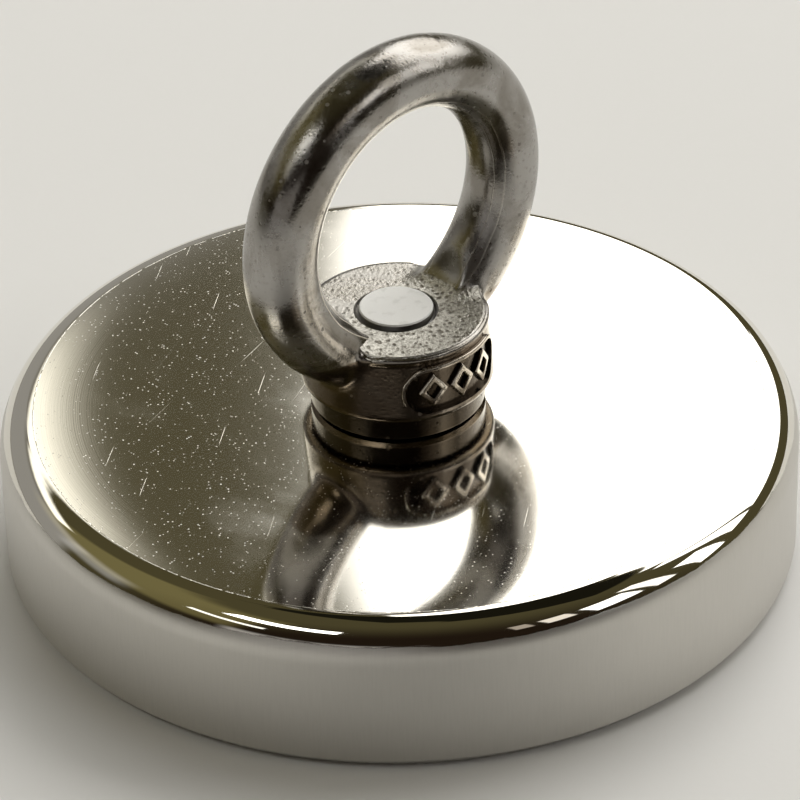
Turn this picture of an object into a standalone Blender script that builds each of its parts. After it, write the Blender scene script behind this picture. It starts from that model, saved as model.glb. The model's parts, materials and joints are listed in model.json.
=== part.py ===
"""Single-sided fishing magnet.

A nickel-plated steel cup holds a potted ring magnet. A countersunk socket screw passes up through
a bush in the middle, and a cast eye nut is screwed onto it and seats on the cup.

Units are metres and +Z is up. The origin is the middle of the working face, the flat underside of
the cup. The eye lies in the XZ plane. Turning the screw about -Z unscrews it, and the eye nut,
held still, climbs its right-hand thread along +Z.
"""

import math

import bmesh
import bpy

# Gap left between pieces that touch each other on the real object
TOUCH_GAP = 0.0003

# Steel cup
POT_DIAMETER = 0.090
POT_HEIGHT = 0.018
POT_WALL = 0.0045
POT_TOP_PLATE = 0.0055
POT_RIM_WIDTH = 0.0040
POT_RIM_DROP = 0.0046
POT_FOOT_BEVEL = 0.0012
POT_EDGE_BREAK = 0.0003
POT_CORNER_FILLET = 0.0012

# Magnet and what bonds it into the cup
MAGNET_RECESS = 0.0004
MAGNET_EDGE_BREAK = 0.0005
ADHESIVE_THICKNESS = 0.0005
RIM_POTTING_WIDTH = 0.0022
CENTRE_POTTING_WIDTH = 0.0024
POTTING_SINK = 0.0003

# Bush in the middle of the magnet
BUSH_DIAMETER = 0.025
SCREW_HOLE_CLEARANCE = 0.0004

# M10 countersunk socket screw
THREAD_DIAMETER = 0.010
THREAD_PITCH = 0.0015
THREAD_PLAY = 0.00014
SCREW_LENGTH = 0.0297
SCREW_SINK = 0.0002
SCREW_HEAD_DIAMETER = 0.020
SCREW_HEAD_EDGE = 0.0005
SCREW_NECK = 0.0008
SCREW_POINT_BEVEL = 0.00085
SCREW_POINT_LENGTH = 0.0014
SOCKET_FLATS = 0.006
SOCKET_DEPTH = 0.0042
SOCKET_TIP = 0.0008

# Cast eye nut
FOOT_DIAMETER = 0.0196
FOOT_HEIGHT = 0.0029
FOOT_BEVEL = 0.0004
COLLAR_LOWER_DIAMETER = 0.0216
COLLAR_UPPER_DIAMETER = 0.0204
COLLAR_LOWER_ROUND = 0.0006
COLLAR_HEIGHT = 0.0111
BEAD_HEIGHT = 0.0010
BEAD_OVERHANG = 0.0002
EYE_INNER_WIDTH = 0.0254
EYE_INNER_HEIGHT = 0.0244
EYE_WIRE = 0.0081
EYE_CENTRE_RISE = 0.0239
SPOT_FACE_MARGIN = 0.0002
SPOT_FACE_FILLET = 0.0026
BORE_MOUTH_BEVEL = 0.00025
LEAD_IN_BEVEL = 0.0003

# Facets round a full turn
POT_SEGMENTS = 72
COLLAR_SEGMENTS = 48
THREAD_SEGMENTS = 24
EYE_SEGMENTS = 56
WIRE_SEGMENTS = 16
ARC_STEPS = 5

# Turn of a blank's facets that keeps them off the edges of the thread and the eye
BLANK_PHASE = math.radians(1.1)

# Points closer than this are one point, at a turned body's seam and along a cut
SEAM_DISTANCE = 0.000001
WELD_DISTANCE = 0.000004

# Thread form: 60 degree flanks about the pitch diameter
FLANK_SLOPE = math.tan(math.radians(30))
THREAD_RADIUS = THREAD_DIAMETER / 2
PITCH_RADIUS = THREAD_RADIUS - 0.3248 * THREAD_PITCH
SCREW_CREST_RADIUS = THREAD_RADIUS - 0.00005
SCREW_ROOT_RADIUS = THREAD_RADIUS - 0.633 * THREAD_PITCH
NUT_ROOT_RADIUS = THREAD_RADIUS + 0.00015
NUT_CREST_RADIUS = THREAD_RADIUS - 0.4 * THREAD_PITCH

# Levels and radii that neighbours share
POT_RADIUS = POT_DIAMETER / 2
CAVITY_RADIUS = POT_RADIUS - POT_WALL
CAVITY_ROOF = POT_HEIGHT - POT_TOP_PLATE
ADHESIVE_TOP = CAVITY_ROOF - TOUCH_GAP
ADHESIVE_BOTTOM = ADHESIVE_TOP - ADHESIVE_THICKNESS
MAGNET_TOP = ADHESIVE_BOTTOM - TOUCH_GAP
POTTING_FACE = MAGNET_RECESS + POTTING_SINK
POTTING_OUTER_RADIUS = CAVITY_RADIUS - TOUCH_GAP
POTTING_INNER_RADIUS = POTTING_OUTER_RADIUS - RIM_POTTING_WIDTH
MAGNET_RADIUS = POTTING_INNER_RADIUS - TOUCH_GAP
BUSH_RADIUS = BUSH_DIAMETER / 2
CENTRE_POTTING_INNER_RADIUS = BUSH_RADIUS + TOUCH_GAP
CENTRE_POTTING_OUTER_RADIUS = CENTRE_POTTING_INNER_RADIUS + CENTRE_POTTING_WIDTH
MAGNET_BORE_RADIUS = CENTRE_POTTING_OUTER_RADIUS + TOUCH_GAP
SCREW_HOLE_RADIUS = THREAD_RADIUS + SCREW_HOLE_CLEARANCE
HEAD_RADIUS = SCREW_HEAD_DIAMETER / 2
SCREW_END = SCREW_SINK + SCREW_LENGTH
NUT_SEAT = POT_HEIGHT + TOUCH_GAP
COLLAR_TOP = NUT_SEAT + COLLAR_HEIGHT
EYE_CENTRE = NUT_SEAT + EYE_CENTRE_RISE


def clear_scene():
    for item in list(bpy.data.objects):
        bpy.data.objects.remove(item, do_unlink=True)


def principled(name, colour, metallic, roughness):
    """A plain Principled BSDF material."""
    material = bpy.data.materials.new(name)
    material.use_nodes = True
    shader = material.node_tree.nodes["Principled BSDF"]
    shader.inputs["Base Color"].default_value = (*colour, 1)
    shader.inputs["Metallic"].default_value = metallic
    shader.inputs["Roughness"].default_value = roughness
    return material


def finish_mesh(name, bm, material=None):
    """Closes a bmesh into an object, with its faces outwards and its round faces smooth."""
    bmesh.ops.remove_doubles(bm, verts=bm.verts, dist=SEAM_DISTANCE)
    bmesh.ops.recalc_face_normals(bm, faces=bm.faces)
    mesh = bpy.data.meshes.new(name)
    bm.to_mesh(mesh)
    bm.free()
    mesh.shade_smooth()
    mesh.set_sharp_from_angle(angle=math.radians(32))
    item = bpy.data.objects.new(name, mesh)
    bpy.context.collection.objects.link(item)
    if material:
        mesh.materials.append(material)
    return item


def arc(centre, radii, start, end, steps=ARC_STEPS):
    """Points of an elliptical arc in the (radius, height) plane, angles in degrees."""
    angles = [math.radians(start + (end - start) * k / steps) for k in range(steps + 1)]
    return [
        (centre[0] + radii[0] * math.cos(a), centre[1] + radii[1] * math.sin(a))
        for a in angles
    ]


def turned(name, outline, segments, material=None, phase=0.0):
    """A body turned about Z. An outline that starts and ends on the axis is closed by it."""
    bm = bmesh.new()
    points = [
        bm.verts.new((radius * math.cos(phase), radius * math.sin(phase), height))
        for radius, height in outline
    ]
    edges = [bm.edges.new(pair) for pair in zip(points, points[1:])]
    if outline[0][0] > 0:
        edges.append(bm.edges.new((points[-1], points[0])))
    bmesh.ops.spin(
        bm,
        geom=points + edges,
        cent=(0, 0, 0),
        axis=(0, 0, 1),
        angle=2 * math.pi,
        steps=segments,
    )
    return finish_mesh(name, bm, material)


def blank(name, outline, material=None):
    """A turned body that is combined with others."""
    return turned(name, outline, COLLAR_SEGMENTS, material, BLANK_PHASE)


def combine(item, operation, other):
    """Adds a Boolean with another object, which stays as a hidden modelling aid."""
    modifier = item.modifiers.new(f"{operation} {other.name}", "BOOLEAN")
    modifier.operation = operation
    modifier.object = other
    other.hide_render = True
    other.display_type = "WIRE"


def weld(item):
    """Joins the coincident points that the cuts leave."""
    modifier = item.modifiers.new("weld", "WELD")
    modifier.merge_threshold = WELD_DISTANCE


def helix_turn(radius, height, step):
    angle = 2 * math.pi * step / THREAD_SEGMENTS
    rise = THREAD_PITCH * step / THREAD_SEGMENTS
    return (radius * math.cos(angle), radius * math.sin(angle), height + rise)


def threaded_rod(name, crest_radius, root_radius, pitch_width, base, turns):
    """A right-hand threaded rod whose tooth starts at height base on the +X side.

    pitch_width is the tooth's width along the axis at the pitch radius.
    """
    crest = pitch_width - 2 * (crest_radius - PITCH_RADIUS) * FLANK_SLOPE
    flank = (crest_radius - root_radius) * FLANK_SLOPE
    profile = [
        (crest / 2 + flank - THREAD_PITCH, root_radius),
        (-crest / 2 - flank, root_radius),
        (-crest / 2, crest_radius),
        (crest / 2, crest_radius),
    ]
    steps = turns * THREAD_SEGMENTS
    bm = bmesh.new()
    lines = []
    for number, (offset, radius) in enumerate(profile):
        last = steps + (THREAD_SEGMENTS if number == 0 else 0)
        lines.append(
            [
                bm.verts.new(helix_turn(radius, base + offset, step))
                for step in range(last + 1)
            ]
        )
    lines.append(lines[0][THREAD_SEGMENTS:])
    for lower, upper in zip(lines, lines[1:]):
        for step in range(steps):
            bm.faces.new(
                (lower[step], lower[step + 1], upper[step + 1], upper[step])
            )
    start_loop = lines[0][: THREAD_SEGMENTS + 1] + [line[0] for line in lines[3:0:-1]]
    end_loop = lines[0][steps:] + [line[steps] for line in lines[3:0:-1]]
    for loop, level in ((start_loop, start_loop[0]), (end_loop, lines[0][-1])):
        middle = bm.verts.new((0, 0, level.co.z))
        for a, b in zip(loop, loop[1:] + loop[:1]):
            bm.faces.new((a, b, middle))
    return finish_mesh(name, bm)


def steel_pot():
    """The cup: thick roof with the screw hole, wall, rounded rim and bevelled foot."""
    outline = [
        (CAVITY_RADIUS + POT_EDGE_BREAK, 0),
        (POT_RADIUS - POT_FOOT_BEVEL, 0),
        (POT_RADIUS, POT_FOOT_BEVEL),
        *arc(
            (POT_RADIUS - POT_RIM_WIDTH, POT_HEIGHT - POT_RIM_DROP),
            (POT_RIM_WIDTH, POT_RIM_DROP),
            0,
            90,
            8,
        ),
        (SCREW_HOLE_RADIUS, POT_HEIGHT),
        (SCREW_HOLE_RADIUS, CAVITY_ROOF),
        *arc(
            (CAVITY_RADIUS - POT_CORNER_FILLET, CAVITY_ROOF - POT_CORNER_FILLET),
            (POT_CORNER_FILLET, POT_CORNER_FILLET),
            90,
            0,
            3,
        ),
        (CAVITY_RADIUS, POT_EDGE_BREAK),
    ]
    nickel = principled("nickel_plated_steel", (0.74, 0.72, 0.67), 1, 0.16)
    return turned("steel_pot", outline, POT_SEGMENTS, nickel)


def ring_magnet():
    """The sintered ring, its edges broken, a little below the cup's working edge."""
    corner = MAGNET_EDGE_BREAK
    outline = [
        (MAGNET_BORE_RADIUS + corner, MAGNET_RECESS),
        (MAGNET_RADIUS - corner, MAGNET_RECESS),
        (MAGNET_RADIUS, MAGNET_RECESS + corner),
        (MAGNET_RADIUS, MAGNET_TOP - corner),
        (MAGNET_RADIUS - corner, MAGNET_TOP),
        (MAGNET_BORE_RADIUS + corner, MAGNET_TOP),
        (MAGNET_BORE_RADIUS, MAGNET_TOP - corner),
        (MAGNET_BORE_RADIUS, MAGNET_RECESS + corner),
    ]
    plating = principled("nickel_plated_magnet", (0.66, 0.65, 0.63), 1, 0.3)
    return turned("ring_magnet", outline, POT_SEGMENTS, plating)


def adhesive_bed():
    """The bonding layer between the magnet and the cup's roof."""
    outline = [
        (MAGNET_BORE_RADIUS, ADHESIVE_BOTTOM),
        (MAGNET_RADIUS, ADHESIVE_BOTTOM),
        (MAGNET_RADIUS, ADHESIVE_TOP),
        (MAGNET_BORE_RADIUS, ADHESIVE_TOP),
    ]
    resin = principled("cured_adhesive", (0.20, 0.19, 0.16), 0, 0.5)
    return turned("adhesive_bed", outline, POT_SEGMENTS, resin)


def rim_potting():
    """The resin ring between the magnet and the cup's wall, its corner following the cup's."""
    corner = POT_CORNER_FILLET
    outline = [
        (POTTING_INNER_RADIUS, POTTING_FACE),
        (POTTING_OUTER_RADIUS, POTTING_FACE),
        (POTTING_OUTER_RADIUS, ADHESIVE_TOP - corner),
        (POTTING_OUTER_RADIUS - corner, ADHESIVE_TOP),
        (POTTING_INNER_RADIUS, ADHESIVE_TOP),
    ]
    resin = principled("potting_resin", (0.03, 0.03, 0.035), 0, 0.4)
    return turned("rim_potting", outline, POT_SEGMENTS, resin)


def centre_bush():
    """The countersunk bush that carries the screw's head."""
    slant_gap = TOUCH_GAP * math.sqrt(2)
    cone_start = SCREW_SINK + SCREW_HEAD_EDGE
    mouth_radius = HEAD_RADIUS + slant_gap
    outline = [
        (mouth_radius, MAGNET_RECESS),
        (BUSH_RADIUS, MAGNET_RECESS),
        (BUSH_RADIUS, ADHESIVE_TOP),
        (SCREW_HOLE_RADIUS, ADHESIVE_TOP),
        (SCREW_HOLE_RADIUS, cone_start + mouth_radius - SCREW_HOLE_RADIUS),
        (mouth_radius, cone_start),
    ]
    steel = principled("bush_steel", (0.56, 0.55, 0.53), 1, 0.35)
    return turned("centre_bush", outline, COLLAR_SEGMENTS, steel)


def centre_potting():
    """The resin ring between the bush and the magnet's bore."""
    outline = [
        (CENTRE_POTTING_INNER_RADIUS, POTTING_FACE),
        (CENTRE_POTTING_OUTER_RADIUS, POTTING_FACE),
        (CENTRE_POTTING_OUTER_RADIUS, ADHESIVE_TOP),
        (CENTRE_POTTING_INNER_RADIUS, ADHESIVE_TOP),
    ]
    resin = principled("centre_potting_resin", (0.03, 0.03, 0.035), 0, 0.4)
    return turned("centre_potting", outline, COLLAR_SEGMENTS, resin)


def hex_socket():
    """Cutter for the key socket: a hexagon pointed by the drill."""
    bm = bmesh.new()
    radius = SOCKET_FLATS / 2 / math.cos(math.radians(30))
    mouth = SCREW_SINK - 0.001
    floor = SCREW_SINK + SOCKET_DEPTH
    rings = []
    for height in (mouth, floor):
        angles = [math.radians(60 * k) for k in range(6)]
        rings.append(
            [
                bm.verts.new((radius * math.cos(a), radius * math.sin(a), height))
                for a in angles
            ]
        )
    tip = bm.verts.new((0, 0, floor + SOCKET_TIP))
    bm.faces.new(rings[0])
    for k in range(6):
        following = (k + 1) % 6
        bm.faces.new(
            (rings[0][k], rings[0][following], rings[1][following], rings[1][k])
        )
        bm.faces.new((rings[1][k], rings[1][following], tip))
    return finish_mesh("socket_cutter", bm)


def countersunk_screw():
    """The screw: a threaded rod trimmed to a bevelled point, joined to its cone head."""
    head_top = SCREW_SINK + SCREW_HEAD_EDGE + HEAD_RADIUS - THREAD_RADIUS
    shank_start = head_top - THREAD_PITCH
    turns = math.ceil((SCREW_END - shank_start) / THREAD_PITCH) + 3
    screw = threaded_rod(
        "countersunk_screw",
        SCREW_CREST_RADIUS,
        SCREW_ROOT_RADIUS,
        THREAD_PITCH / 2 - THREAD_PLAY,
        thread_base(shank_start),
        turns,
    )
    steel = principled("screw_steel", (0.80, 0.80, 0.78), 1, 0.35)
    screw.data.materials.append(steel)
    outside = THREAD_RADIUS + 0.001
    point_radius = THREAD_RADIUS - SCREW_POINT_BEVEL
    slope = SCREW_POINT_BEVEL / SCREW_POINT_LENGTH
    shoulder = SCREW_END - (outside - point_radius) / slope
    trim = [
        (0, shank_start),
        (outside, shank_start),
        (outside, shoulder),
        (point_radius, SCREW_END),
        (0, SCREW_END),
    ]
    combine(screw, "INTERSECT", blank("shank_envelope", trim))
    head = [
        (0, SCREW_SINK),
        (HEAD_RADIUS, SCREW_SINK),
        (HEAD_RADIUS, SCREW_SINK + SCREW_HEAD_EDGE),
        (THREAD_RADIUS, head_top),
        (THREAD_RADIUS, head_top + SCREW_NECK),
        (0, head_top + SCREW_NECK),
    ]
    combine(screw, "UNION", blank("head_blank", head))
    combine(screw, "DIFFERENCE", hex_socket())
    weld(screw)
    return screw


def thread_base(level):
    """The start of a whole turn of the thread, more than a turn below a level."""
    return SCREW_SINK + THREAD_PITCH * (
        math.floor((level - SCREW_SINK) / THREAD_PITCH) - 1
    )


def collar_outline():
    """The eye nut's turned outline: foot, collar with its draft, and the bead at its top."""
    foot = FOOT_DIAMETER / 2
    lower = COLLAR_LOWER_DIAMETER / 2
    upper = COLLAR_UPPER_DIAMETER / 2
    shoulder = NUT_SEAT + FOOT_HEIGHT
    bead_bottom = COLLAR_TOP - BEAD_HEIGHT
    corner = COLLAR_LOWER_ROUND
    return [
        (0, NUT_SEAT),
        (foot - FOOT_BEVEL, NUT_SEAT),
        (foot, NUT_SEAT + FOOT_BEVEL),
        (foot, shoulder),
        *arc((lower - corner, shoulder + corner), (corner, corner), -60, 0, 3),
        (upper, bead_bottom - BEAD_OVERHANG),
        *arc(
            (upper + BEAD_OVERHANG - BEAD_HEIGHT / 2, COLLAR_TOP - BEAD_HEIGHT / 2),
            (BEAD_HEIGHT / 2, BEAD_HEIGHT / 2),
            -60,
            90,
            5,
        ),
        (0, COLLAR_TOP),
    ]


def eye_ring():
    """The cast eye: round wire bent to a slightly wide oval."""
    wire = EYE_WIRE / 2
    half_width = EYE_INNER_WIDTH / 2 + wire
    half_height = EYE_INNER_HEIGHT / 2 + wire
    bm = bmesh.new()
    rings = []
    for step in range(EYE_SEGMENTS):
        angle = 2 * math.pi * step / EYE_SEGMENTS
        out_x = math.cos(angle) / half_width
        out_z = math.sin(angle) / half_height
        length = math.hypot(out_x, out_z)
        ring = []
        for turn in range(WIRE_SEGMENTS):
            section = 2 * math.pi * turn / WIRE_SEGMENTS
            reach = wire * math.cos(section) / length
            ring.append(
                bm.verts.new(
                    (
                        half_width * math.cos(angle) + reach * out_x,
                        wire * math.sin(section),
                        EYE_CENTRE + half_height * math.sin(angle) + reach * out_z,
                    )
                )
            )
        rings.append(ring)
    for a, b in zip(rings, rings[1:] + rings[:1]):
        for k in range(WIRE_SEGMENTS):
            following = (k + 1) % WIRE_SEGMENTS
            bm.faces.new((a[k], a[following], b[following], b[k]))
    return finish_mesh("eye_ring", bm)


def mouth(name, level, radius, side):
    """Cutter for the 45 degree bevel of the bore at one end: side is 1 above and -1 below."""
    inner = NUT_CREST_RADIUS - TOUCH_GAP
    outer = radius + TOUCH_GAP
    outside = level + side * TOUCH_GAP
    inside = outside - side * (outer - inner)
    outline = [(0, inside), (inner, inside), (outer, outside), (0, outside)]
    return blank(name, outline)


def eye_nut():
    """The eye nut: collar and eye in one casting, tapped through."""
    steel = principled("cast_stainless", (0.50, 0.47, 0.43), 1, 0.28)
    body = blank("eye_nut", collar_outline(), steel)
    ring = eye_ring()
    buried = COLLAR_TOP - 0.0002
    flat = THREAD_RADIUS + SPOT_FACE_MARGIN
    clear_above = [
        (0, buried),
        *arc((flat, buried + SPOT_FACE_FILLET), (SPOT_FACE_FILLET, SPOT_FACE_FILLET), -90, 0),
        (flat + SPOT_FACE_FILLET, EYE_CENTRE),
        (0, EYE_CENTRE),
    ]
    combine(ring, "DIFFERENCE", blank("spot_face", clear_above))
    combine(body, "UNION", ring)
    bore = threaded_rod(
        "tap",
        NUT_ROOT_RADIUS,
        NUT_CREST_RADIUS,
        THREAD_PITCH / 2 + THREAD_PLAY,
        thread_base(NUT_SEAT),
        math.ceil(COLLAR_HEIGHT / THREAD_PITCH) + 3,
    )
    combine(body, "DIFFERENCE", bore)
    lead_in = NUT_ROOT_RADIUS + LEAD_IN_BEVEL
    combine(body, "DIFFERENCE", mouth("lower_mouth", NUT_SEAT, lead_in, -1))
    exit_radius = NUT_CREST_RADIUS + BORE_MOUTH_BEVEL
    combine(body, "DIFFERENCE", mouth("upper_mouth", COLLAR_TOP, exit_radius, 1))
    weld(body)
    return body


def main():
    clear_scene()
    steel_pot()
    ring_magnet()
    adhesive_bed()
    rim_potting()
    centre_bush()
    centre_potting()
    countersunk_screw()
    eye_nut()


main()
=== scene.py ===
"""Looks of a magnet fishing magnet: a nickel-plated pot magnet with a cast eye nut on its screw."""

import json
import math

import bpy
from mathutils import Matrix, Vector

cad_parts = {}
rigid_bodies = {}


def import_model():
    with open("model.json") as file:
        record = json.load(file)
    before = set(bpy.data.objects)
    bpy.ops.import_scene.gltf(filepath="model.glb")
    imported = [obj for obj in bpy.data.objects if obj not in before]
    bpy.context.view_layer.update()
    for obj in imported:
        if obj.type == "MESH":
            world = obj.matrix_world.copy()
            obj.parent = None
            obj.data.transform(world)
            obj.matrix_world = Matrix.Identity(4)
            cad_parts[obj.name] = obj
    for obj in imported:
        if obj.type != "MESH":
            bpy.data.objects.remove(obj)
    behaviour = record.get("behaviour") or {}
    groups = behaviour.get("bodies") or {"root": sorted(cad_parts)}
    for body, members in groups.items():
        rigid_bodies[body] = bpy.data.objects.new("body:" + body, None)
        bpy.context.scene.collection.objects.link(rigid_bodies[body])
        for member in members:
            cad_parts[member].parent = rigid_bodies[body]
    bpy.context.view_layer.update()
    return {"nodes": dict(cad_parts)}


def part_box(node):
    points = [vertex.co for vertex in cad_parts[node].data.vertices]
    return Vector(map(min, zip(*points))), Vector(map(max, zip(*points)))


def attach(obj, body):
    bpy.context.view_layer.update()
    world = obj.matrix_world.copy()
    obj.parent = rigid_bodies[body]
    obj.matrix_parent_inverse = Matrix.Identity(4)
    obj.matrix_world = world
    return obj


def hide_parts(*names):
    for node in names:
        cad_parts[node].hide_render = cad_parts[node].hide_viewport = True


bl_info = {
    "name": "Magnet Fishing Magnet",
    "version": (1, 0, 0),
    "blender": (4, 5, 0),
    "location": "View3D > Sidebar > Magnet",
    "description": "Builds a pot magnet with a cast eye nut around its packed frame, and its stage",
    "category": "Add Mesh",
}

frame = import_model()

MM = 0.001
TURN = 2 * math.pi

POT_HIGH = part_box("steel_pot")[1]
NUT_LOW, NUT_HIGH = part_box("eye_nut")
SCREW_LOW, SCREW_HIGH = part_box("countersunk_screw")
MAGNET_LOW, MAGNET_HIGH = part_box("ring_magnet")
BUSH_LOW, BUSH_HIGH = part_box("centre_bush")
RIM_POTTING_LOW, RIM_POTTING_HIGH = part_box("rim_potting")
CENTRE_POTTING_LOW, CENTRE_POTTING_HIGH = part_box("centre_potting")

POT_STEPS = 288
COLLAR_STEPS = 160
BUSH_STEPS = 160
EYE_STEPS = 200
WIRE_STEPS = 80
THREAD_STEPS = 48
MERGE = 1e-6
CREASE_ANGLE = math.radians(32)


# Settings ---------------------------------------------------------------


def length(name, text, value):
    return bpy.props.FloatProperty(
        name=name, description=text, default=value, min=0, subtype="DISTANCE", unit="LENGTH"
    )


def colour(name, text, value):
    return bpy.props.FloatVectorProperty(
        name=name, description=text, default=value, size=3, min=0, max=1, subtype="COLOR"
    )


def share(name, text, value):
    return bpy.props.FloatProperty(
        name=name, description=text, default=value, min=0, max=1, subtype="FACTOR"
    )


def angle(name, text, value):
    return bpy.props.FloatProperty(
        name=name, description=text, default=math.radians(value), subtype="ANGLE", unit="ROTATION"
    )


class PotSizes(bpy.types.PropertyGroup):
    """Sizes of the cup and of what is potted in it."""

    rim_width: length("Rim width", "How far the rounded rim reaches in over the cup's back", 4.0 * MM)
    rim_drop: length("Rim drop", "How far the rounded rim reaches down the wall", 4.6 * MM)
    crease: angle("Crease", "Slope of the rounded rim where the flat back cuts it off", 11)
    crown: length("Crown", "Fall of the flat back towards its edge", 0.105 * MM)
    foot_bevel: length("Foot bevel", "Bevel round the working edge", 1.2 * MM)
    wall: length("Wall", "Thickness of the cup's wall", 4.5 * MM)
    roof: length("Roof", "Thickness of the cup's roof", 5.5 * MM)
    corner: length("Corner", "Fillet between the roof and the wall inside", 1.2 * MM)
    screw_hole: length("Screw hole", "Radius of the hole for the screw", 5.4 * MM)
    edge_break: length("Edge break", "Small bevel on turned and ground edges", 0.3 * MM)
    magnet_bevel: length("Magnet bevel", "Rounding of the magnet's edges", 0.5 * MM)
    meniscus: length("Meniscus", "Depth of the hollow in the cured resin", 0.22 * MM)


class NutSizes(bpy.types.PropertyGroup):
    """Sizes of the cast eye nut."""

    foot_radius: length("Foot radius", "Radius of the machined foot", 9.8 * MM)
    foot_height: length("Foot height", "Height of the machined foot", 2.9 * MM)
    foot_bevel: length("Foot bevel", "Bevel round the foot", 0.4 * MM)
    collar_lower: length("Collar, lower", "Radius of the collar at its bottom", 10.8 * MM)
    collar_upper: length("Collar, upper", "Radius of the collar under its bead", 10.2 * MM)
    collar_height: length("Collar height", "Height of foot and collar", 11.1 * MM)
    bead: length("Bead", "Height of the rounded bead at the collar's top", 1.0 * MM)
    bead_overhang: length("Bead overhang", "How far the bead stands out", 0.2 * MM)
    eye_inner_width: length("Eye width", "Clear width of the eye", 25.4 * MM)
    eye_inner_height: length("Eye height", "Clear height of the eye", 24.4 * MM)
    wire: length("Wire", "Thickness of the eye's round wire", 8.1 * MM)
    spot_face: length("Spot face", "Radius of the flat round the thread", 5.0 * MM)
    spot_fillet: length("Spot fillet", "Fillet between that flat and the eye's roots", 3.4 * MM)
    bore: length("Bore", "Radius of the hole where it opens", 4.65 * MM)
    panel_angle: angle("Panel", "Half the arc of the sunk panel on the collar", 38.4)
    panel_height: length("Panel height", "Half the height of the sunk panel", 2.7 * MM)
    panel_depth: length("Panel depth", "Depth of the sunk panel", 0.40 * MM)
    mark_height: length("Mark height", "Height of the raised lozenges in the panel", 4.3 * MM)
    mark_width: length("Mark width", "Width of one raised lozenge", 3.5 * MM)
    mark_stroke: length("Mark stroke", "Width of a lozenge's raised line", 0.68 * MM)
    casting_grid: length("Casting grid", "Grid that the casting is blended on", 0.22 * MM)


class ScrewSizes(bpy.types.PropertyGroup):
    """Sizes of the countersunk screw and its thread."""

    crest: length("Crest", "Radius of the thread's crest", 4.95 * MM)
    root: length("Root", "Radius of the thread's root", 4.05 * MM)
    pitch: length("Pitch", "Climb of the thread in one turn", 1.5 * MM)
    land: length("Land", "Height of the head's straight edge", 0.5 * MM)
    neck: length("Neck", "Radius of the plain neck under the head", 5.0 * MM)
    neck_height: length("Neck height", "Height of the plain neck", 0.8 * MM)
    point_radius: length("Point radius", "Radius of the bevelled point", 4.15 * MM)
    point_length: length("Point length", "Length of the bevelled point", 1.4 * MM)
    socket_flats: length("Socket", "Width of the key socket across flats", 6.0 * MM)
    socket_depth: length("Socket depth", "Depth of the key socket", 4.2 * MM)


class Finishes(bpy.types.PropertyGroup):
    """Colours and polish of the metals and resins."""

    nickel: colour("Nickel", "Bright nickel plate", (0.80, 0.775, 0.71))
    nickel_wall: colour("Nickel wall", "Satin nickel on the cup's wall", (0.66, 0.64, 0.60))
    back_roughness: share("Back roughness", "Roughness of the turned back", 0.075)
    rim_roughness: share("Rim roughness", "Roughness of the polished rim", 0.035)
    wall_roughness: share("Wall roughness", "Roughness of the satin wall", 0.36)
    cast_light: colour("Casting, light", "Tumbled stainless steel", (0.40, 0.385, 0.365))
    cast_dark: colour("Casting, dark", "Stainless steel darkened in its hollows", (0.135, 0.115, 0.085))
    cast_roughness: share("Casting roughness", "Roughness of the tumbled casting", 0.27)
    screw: colour("Screw", "Zinc-plated screw steel", (0.72, 0.73, 0.72))
    screw_end: colour("Screw end", "Matt end of the screw", (0.98, 0.98, 0.96))
    magnet: colour("Magnet", "Nickel plate on the magnet", (0.66, 0.65, 0.62))
    resin: colour("Resin", "Potting resin", (0.018, 0.018, 0.020))
    adhesive: colour("Adhesive", "Cured adhesive", (0.20, 0.19, 0.16))


class StageSettings(bpy.types.PropertyGroup):
    """Camera, floor and studio light."""

    azimuth: angle("Azimuth", "Camera's angle round the object", -42.72)
    elevation: angle("Elevation", "Camera's angle above the floor", 33.61)
    roll: angle("Roll", "Camera's roll", -1.455)
    distance: length("Distance", "From the camera to the aim point", 487.4 * MM)
    aim: length("Aim", "Height of the aim point on the screw's axis", 17.33 * MM)
    lens: bpy.props.FloatProperty(
        name="Lens",
        description="Focal length in millimetres on a 36 mm sensor",
        default=195.12,
        min=1,
        unit="CAMERA",
    )
    floor: colour("Floor", "Colour of the floor", (0.78, 0.775, 0.76))
    backdrop: colour("Backdrop", "Colour behind the object", (0.57, 0.555, 0.515))
    floor_light: bpy.props.FloatProperty(
        name="Floor light",
        description="Power of the soft overhead light in watts",
        default=4.0,
        min=0,
        unit="POWER",
    )
    studio: bpy.props.FloatProperty(
        name="Studio", description="Brightness of the studio's panels", default=1.0, min=0
    )


GROUPS = {
    "magnet_pot": PotSizes,
    "magnet_nut": NutSizes,
    "magnet_screw": ScrewSizes,
    "magnet_finishes": Finishes,
    "magnet_stage": StageSettings,
}


# Modelling --------------------------------------------------------------


def deselect():
    if bpy.context.object and bpy.context.object.mode != "OBJECT":
        bpy.ops.object.mode_set(mode="OBJECT")
    bpy.ops.object.select_all(action="DESELECT")


def pick(piece):
    """Makes a piece the only selected and active one."""
    deselect()
    piece.select_set(True)
    bpy.context.view_layer.objects.active = piece


def named(name):
    piece = bpy.context.object
    piece.name = name
    piece.data.name = name
    return piece


def choose(piece, test, kind="faces"):
    """In edit mode, selects exactly the faces, edges or vertices whose middle passes the test."""
    bpy.ops.mesh.select_all(action="DESELECT")
    bpy.ops.object.mode_set(mode="OBJECT")
    mesh = piece.data
    for part in getattr(mesh, kind if kind != "faces" else "polygons"):
        if kind == "vertices":
            part.select = test(part.co, None)
        elif kind == "edges":
            a, b = (mesh.vertices[i].co for i in part.vertices)
            part.select = test((a + b) / 2, (b - a).normalized())
        else:
            part.select = test(part.center, part.normal)
    bpy.ops.object.mode_set(mode="EDIT")


def select_mode(kind):
    bpy.ops.mesh.select_mode(type=kind)


def settle(piece):
    """Puts the piece's place into its mesh, its object at the origin."""
    pick(piece)
    bpy.ops.object.transform_apply(location=True, rotation=True, scale=True)
    return piece


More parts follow.
